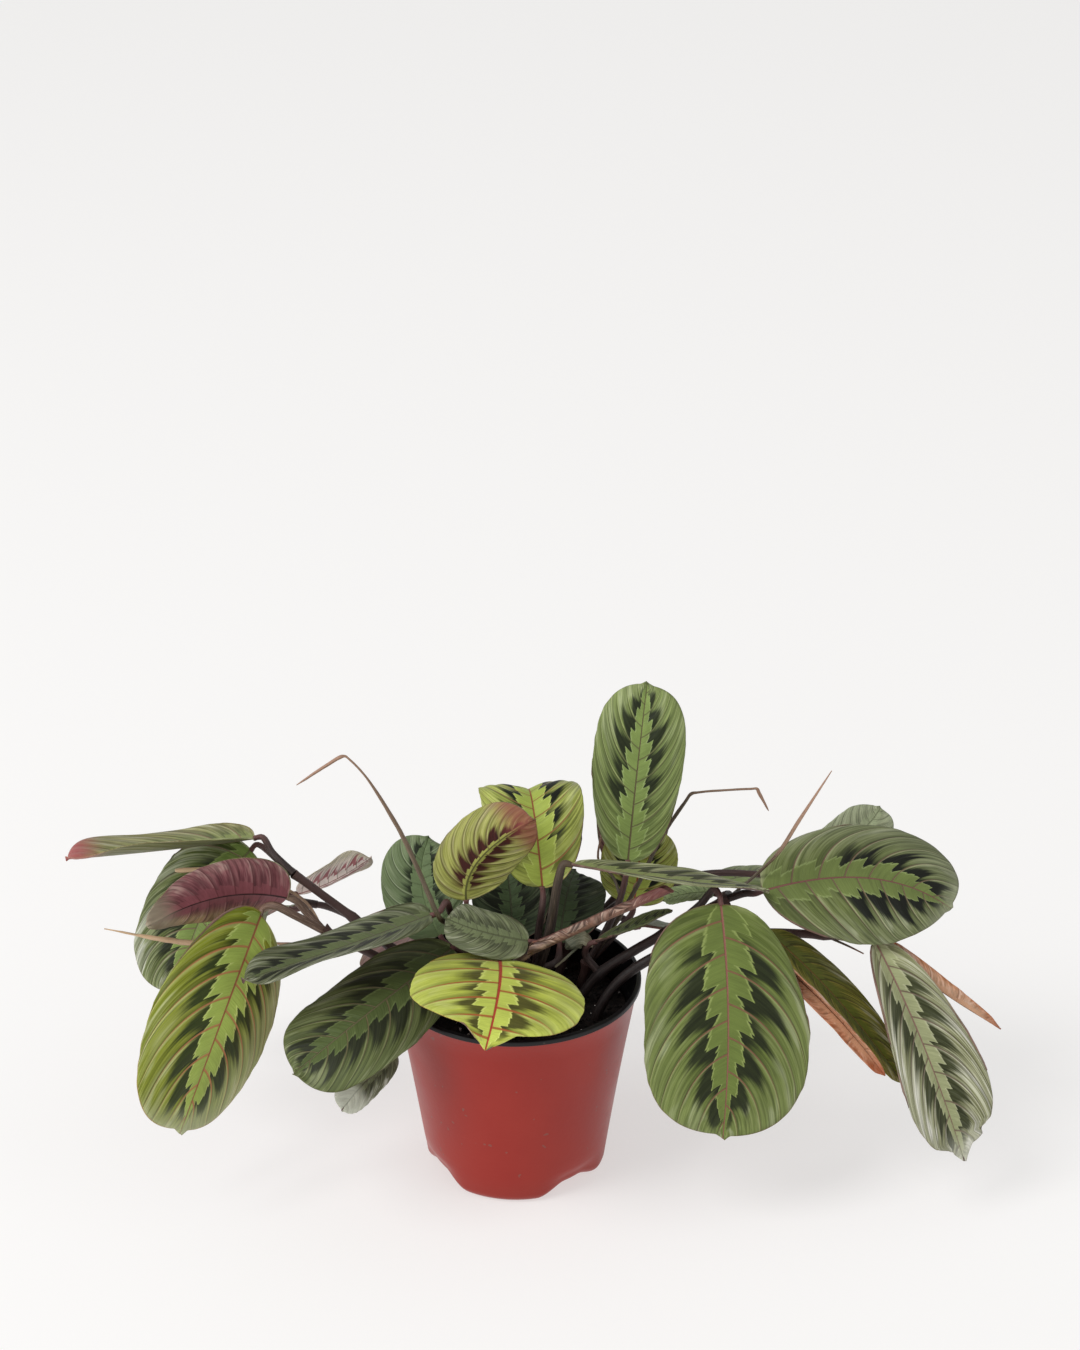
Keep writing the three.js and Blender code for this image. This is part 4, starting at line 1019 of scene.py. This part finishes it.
def soilProfile():
    q = soilShape
    low, base = potShape["wall"] + 0.3, potShape["base"]
    inner = {z: potRadius(z) - potShape["wall"] - q["gap"] for z in (18, 50, 85, q["top"])}
    profile = [(0, low), (base - 16, low), (base - 8, low + 7.2), (inner[18] - 1, 19), (inner[50] - 1, 50),
               (inner[85] - 0.6, 85), (inner[q["top"]] - 0.6, q["top"])]
    for ring in range(1, q["rings"] + 1):
        share = 1 - ring / q["rings"]
        crown = q["crown"] * (1 - smooth(share, 0.3, 1))
        profile.append(((inner[q["top"]] - 0.6) * share, q["top"] + crown))
    return profile


def addCrumb(bm, number, white):
    q = soilShape
    angle = q["goldenAngle"] * number + noise.random() * 0.6
    r = q["spread"] * math.sqrt(noise.random())
    grown = q["perliteRange"] * noise.random() if white else q["crumbRange"] * noise.random() ** 2
    size = q["smallest"] + grown
    z = q["top"] + q["crown"] * (1 - smooth(r / q["edge"], 0.3, 1)) + size * 0.3
    made = bmesh.ops.create_icosphere(bm, subdivisions=1, radius=size)["verts"]
    squeeze = Vector((1, 0.6 + 0.4 * noise.random(), 0.5 + 0.3 * noise.random()))
    for vert in made:
        vert.co *= 1 + 0.5 * noise.noise(vert.co * 1.3 + Vector((number, 0, 0)))
        vert.co *= squeeze
    bmesh.ops.rotate(bm, verts=made, matrix=Matrix.Rotation(angle * 3, 3, "Z"))
    bmesh.ops.translate(bm, verts=made, vec=(r * math.cos(angle), r * math.sin(angle), z))
    for face in {f for v in made for f in v.link_faces}:
        face.material_index = 1 if white else 0


def makeSoil():
    q = soilShape
    bm = bmesh.new()
    spinProfile(bm, soilProfile(), q["steps"])
    for vert in bm.verts:
        if vert.co.z > q["top"] - 0.5:
            edge = 1 - smooth(vert.co.xy.length, q["calm"], q["edge"])
            lump = noise.noise(vert.co * 0.09) + 0.7 * noise.noise(vert.co * 0.31)
            vert.co.z += q["rough"] * edge * lump
    for number in range(q["crumbs"] + q["perlite"]):
        addCrumb(bm, number, number >= q["crumbs"])
    skins = [soilSkin(name, *values) for name, values in soilColours.items()]
    finishPiece("pottingSoil", bm, skins, ["soil"], q["sharp"])


noise.seed_set(soilShape["seed"])
makeSoil()
print("soil made")


# Floor and light: place, what it looks at, width and power of each lamp, in metres and watts
studio = {
    "floor": (176, 175, 174), "pale": (238, 237, 236), "size": 16, "glow": 0.66, "sky": 0.48,
    "lamps": {
        "keyLight": ((-3.4, -2.2, 5.4), (0, 0.4, 0.12), 3.4, 178),
        "fillLight": ((1.8, -1.0, 1.4), (0, 0, 0.12), 1.6, 5),
        "sideLight": ((-2.2, -0.7, 0.6), (0, 0, 0.1), 1.5, 20),
    },
}


def makeFloor():
    bm = bmesh.new()
    bmesh.ops.create_grid(bm, x_segments=2, y_segments=2, size=studio["size"] * 500)  # half its width in mm
    floor = meshObject("floor", bm)
    # the floor glows in its pale colour besides taking the lamps' light: painted light that keeps it evenly
    # pale and the shadows cast on it faint
    floor.data.materials.append(newSkin(
        "paleFloor", Roughness=0.9, Specular_IOR_Level=0.1, Base_Color=paint(*studio["floor"]),
        Emission_Color=paint(*studio["pale"]), Emission_Strength=studio["glow"])[0])


def areaLight(name, place, target, size, power):
    light = bpy.data.lights.new(name, "AREA")
    light.shape = "DISK"
    light.size, light.energy = size, power
    lamp = addObject(name, light)
    lamp.location = place
    lamp.rotation_euler = (Vector(target) - Vector(place)).to_track_quat("-Z", "Y").to_euler()


makeFloor()
for name, lamp in studio["lamps"].items():
    areaLight(name, *lamp)
world = bpy.data.worlds.new("studio")
scene.world = world
world.use_nodes = True
sky = world.node_tree.nodes["Background"].inputs
sky["Color"].default_value = (1, 1, 1, 1)
sky["Strength"].default_value = studio["sky"]
print("floor and light made")
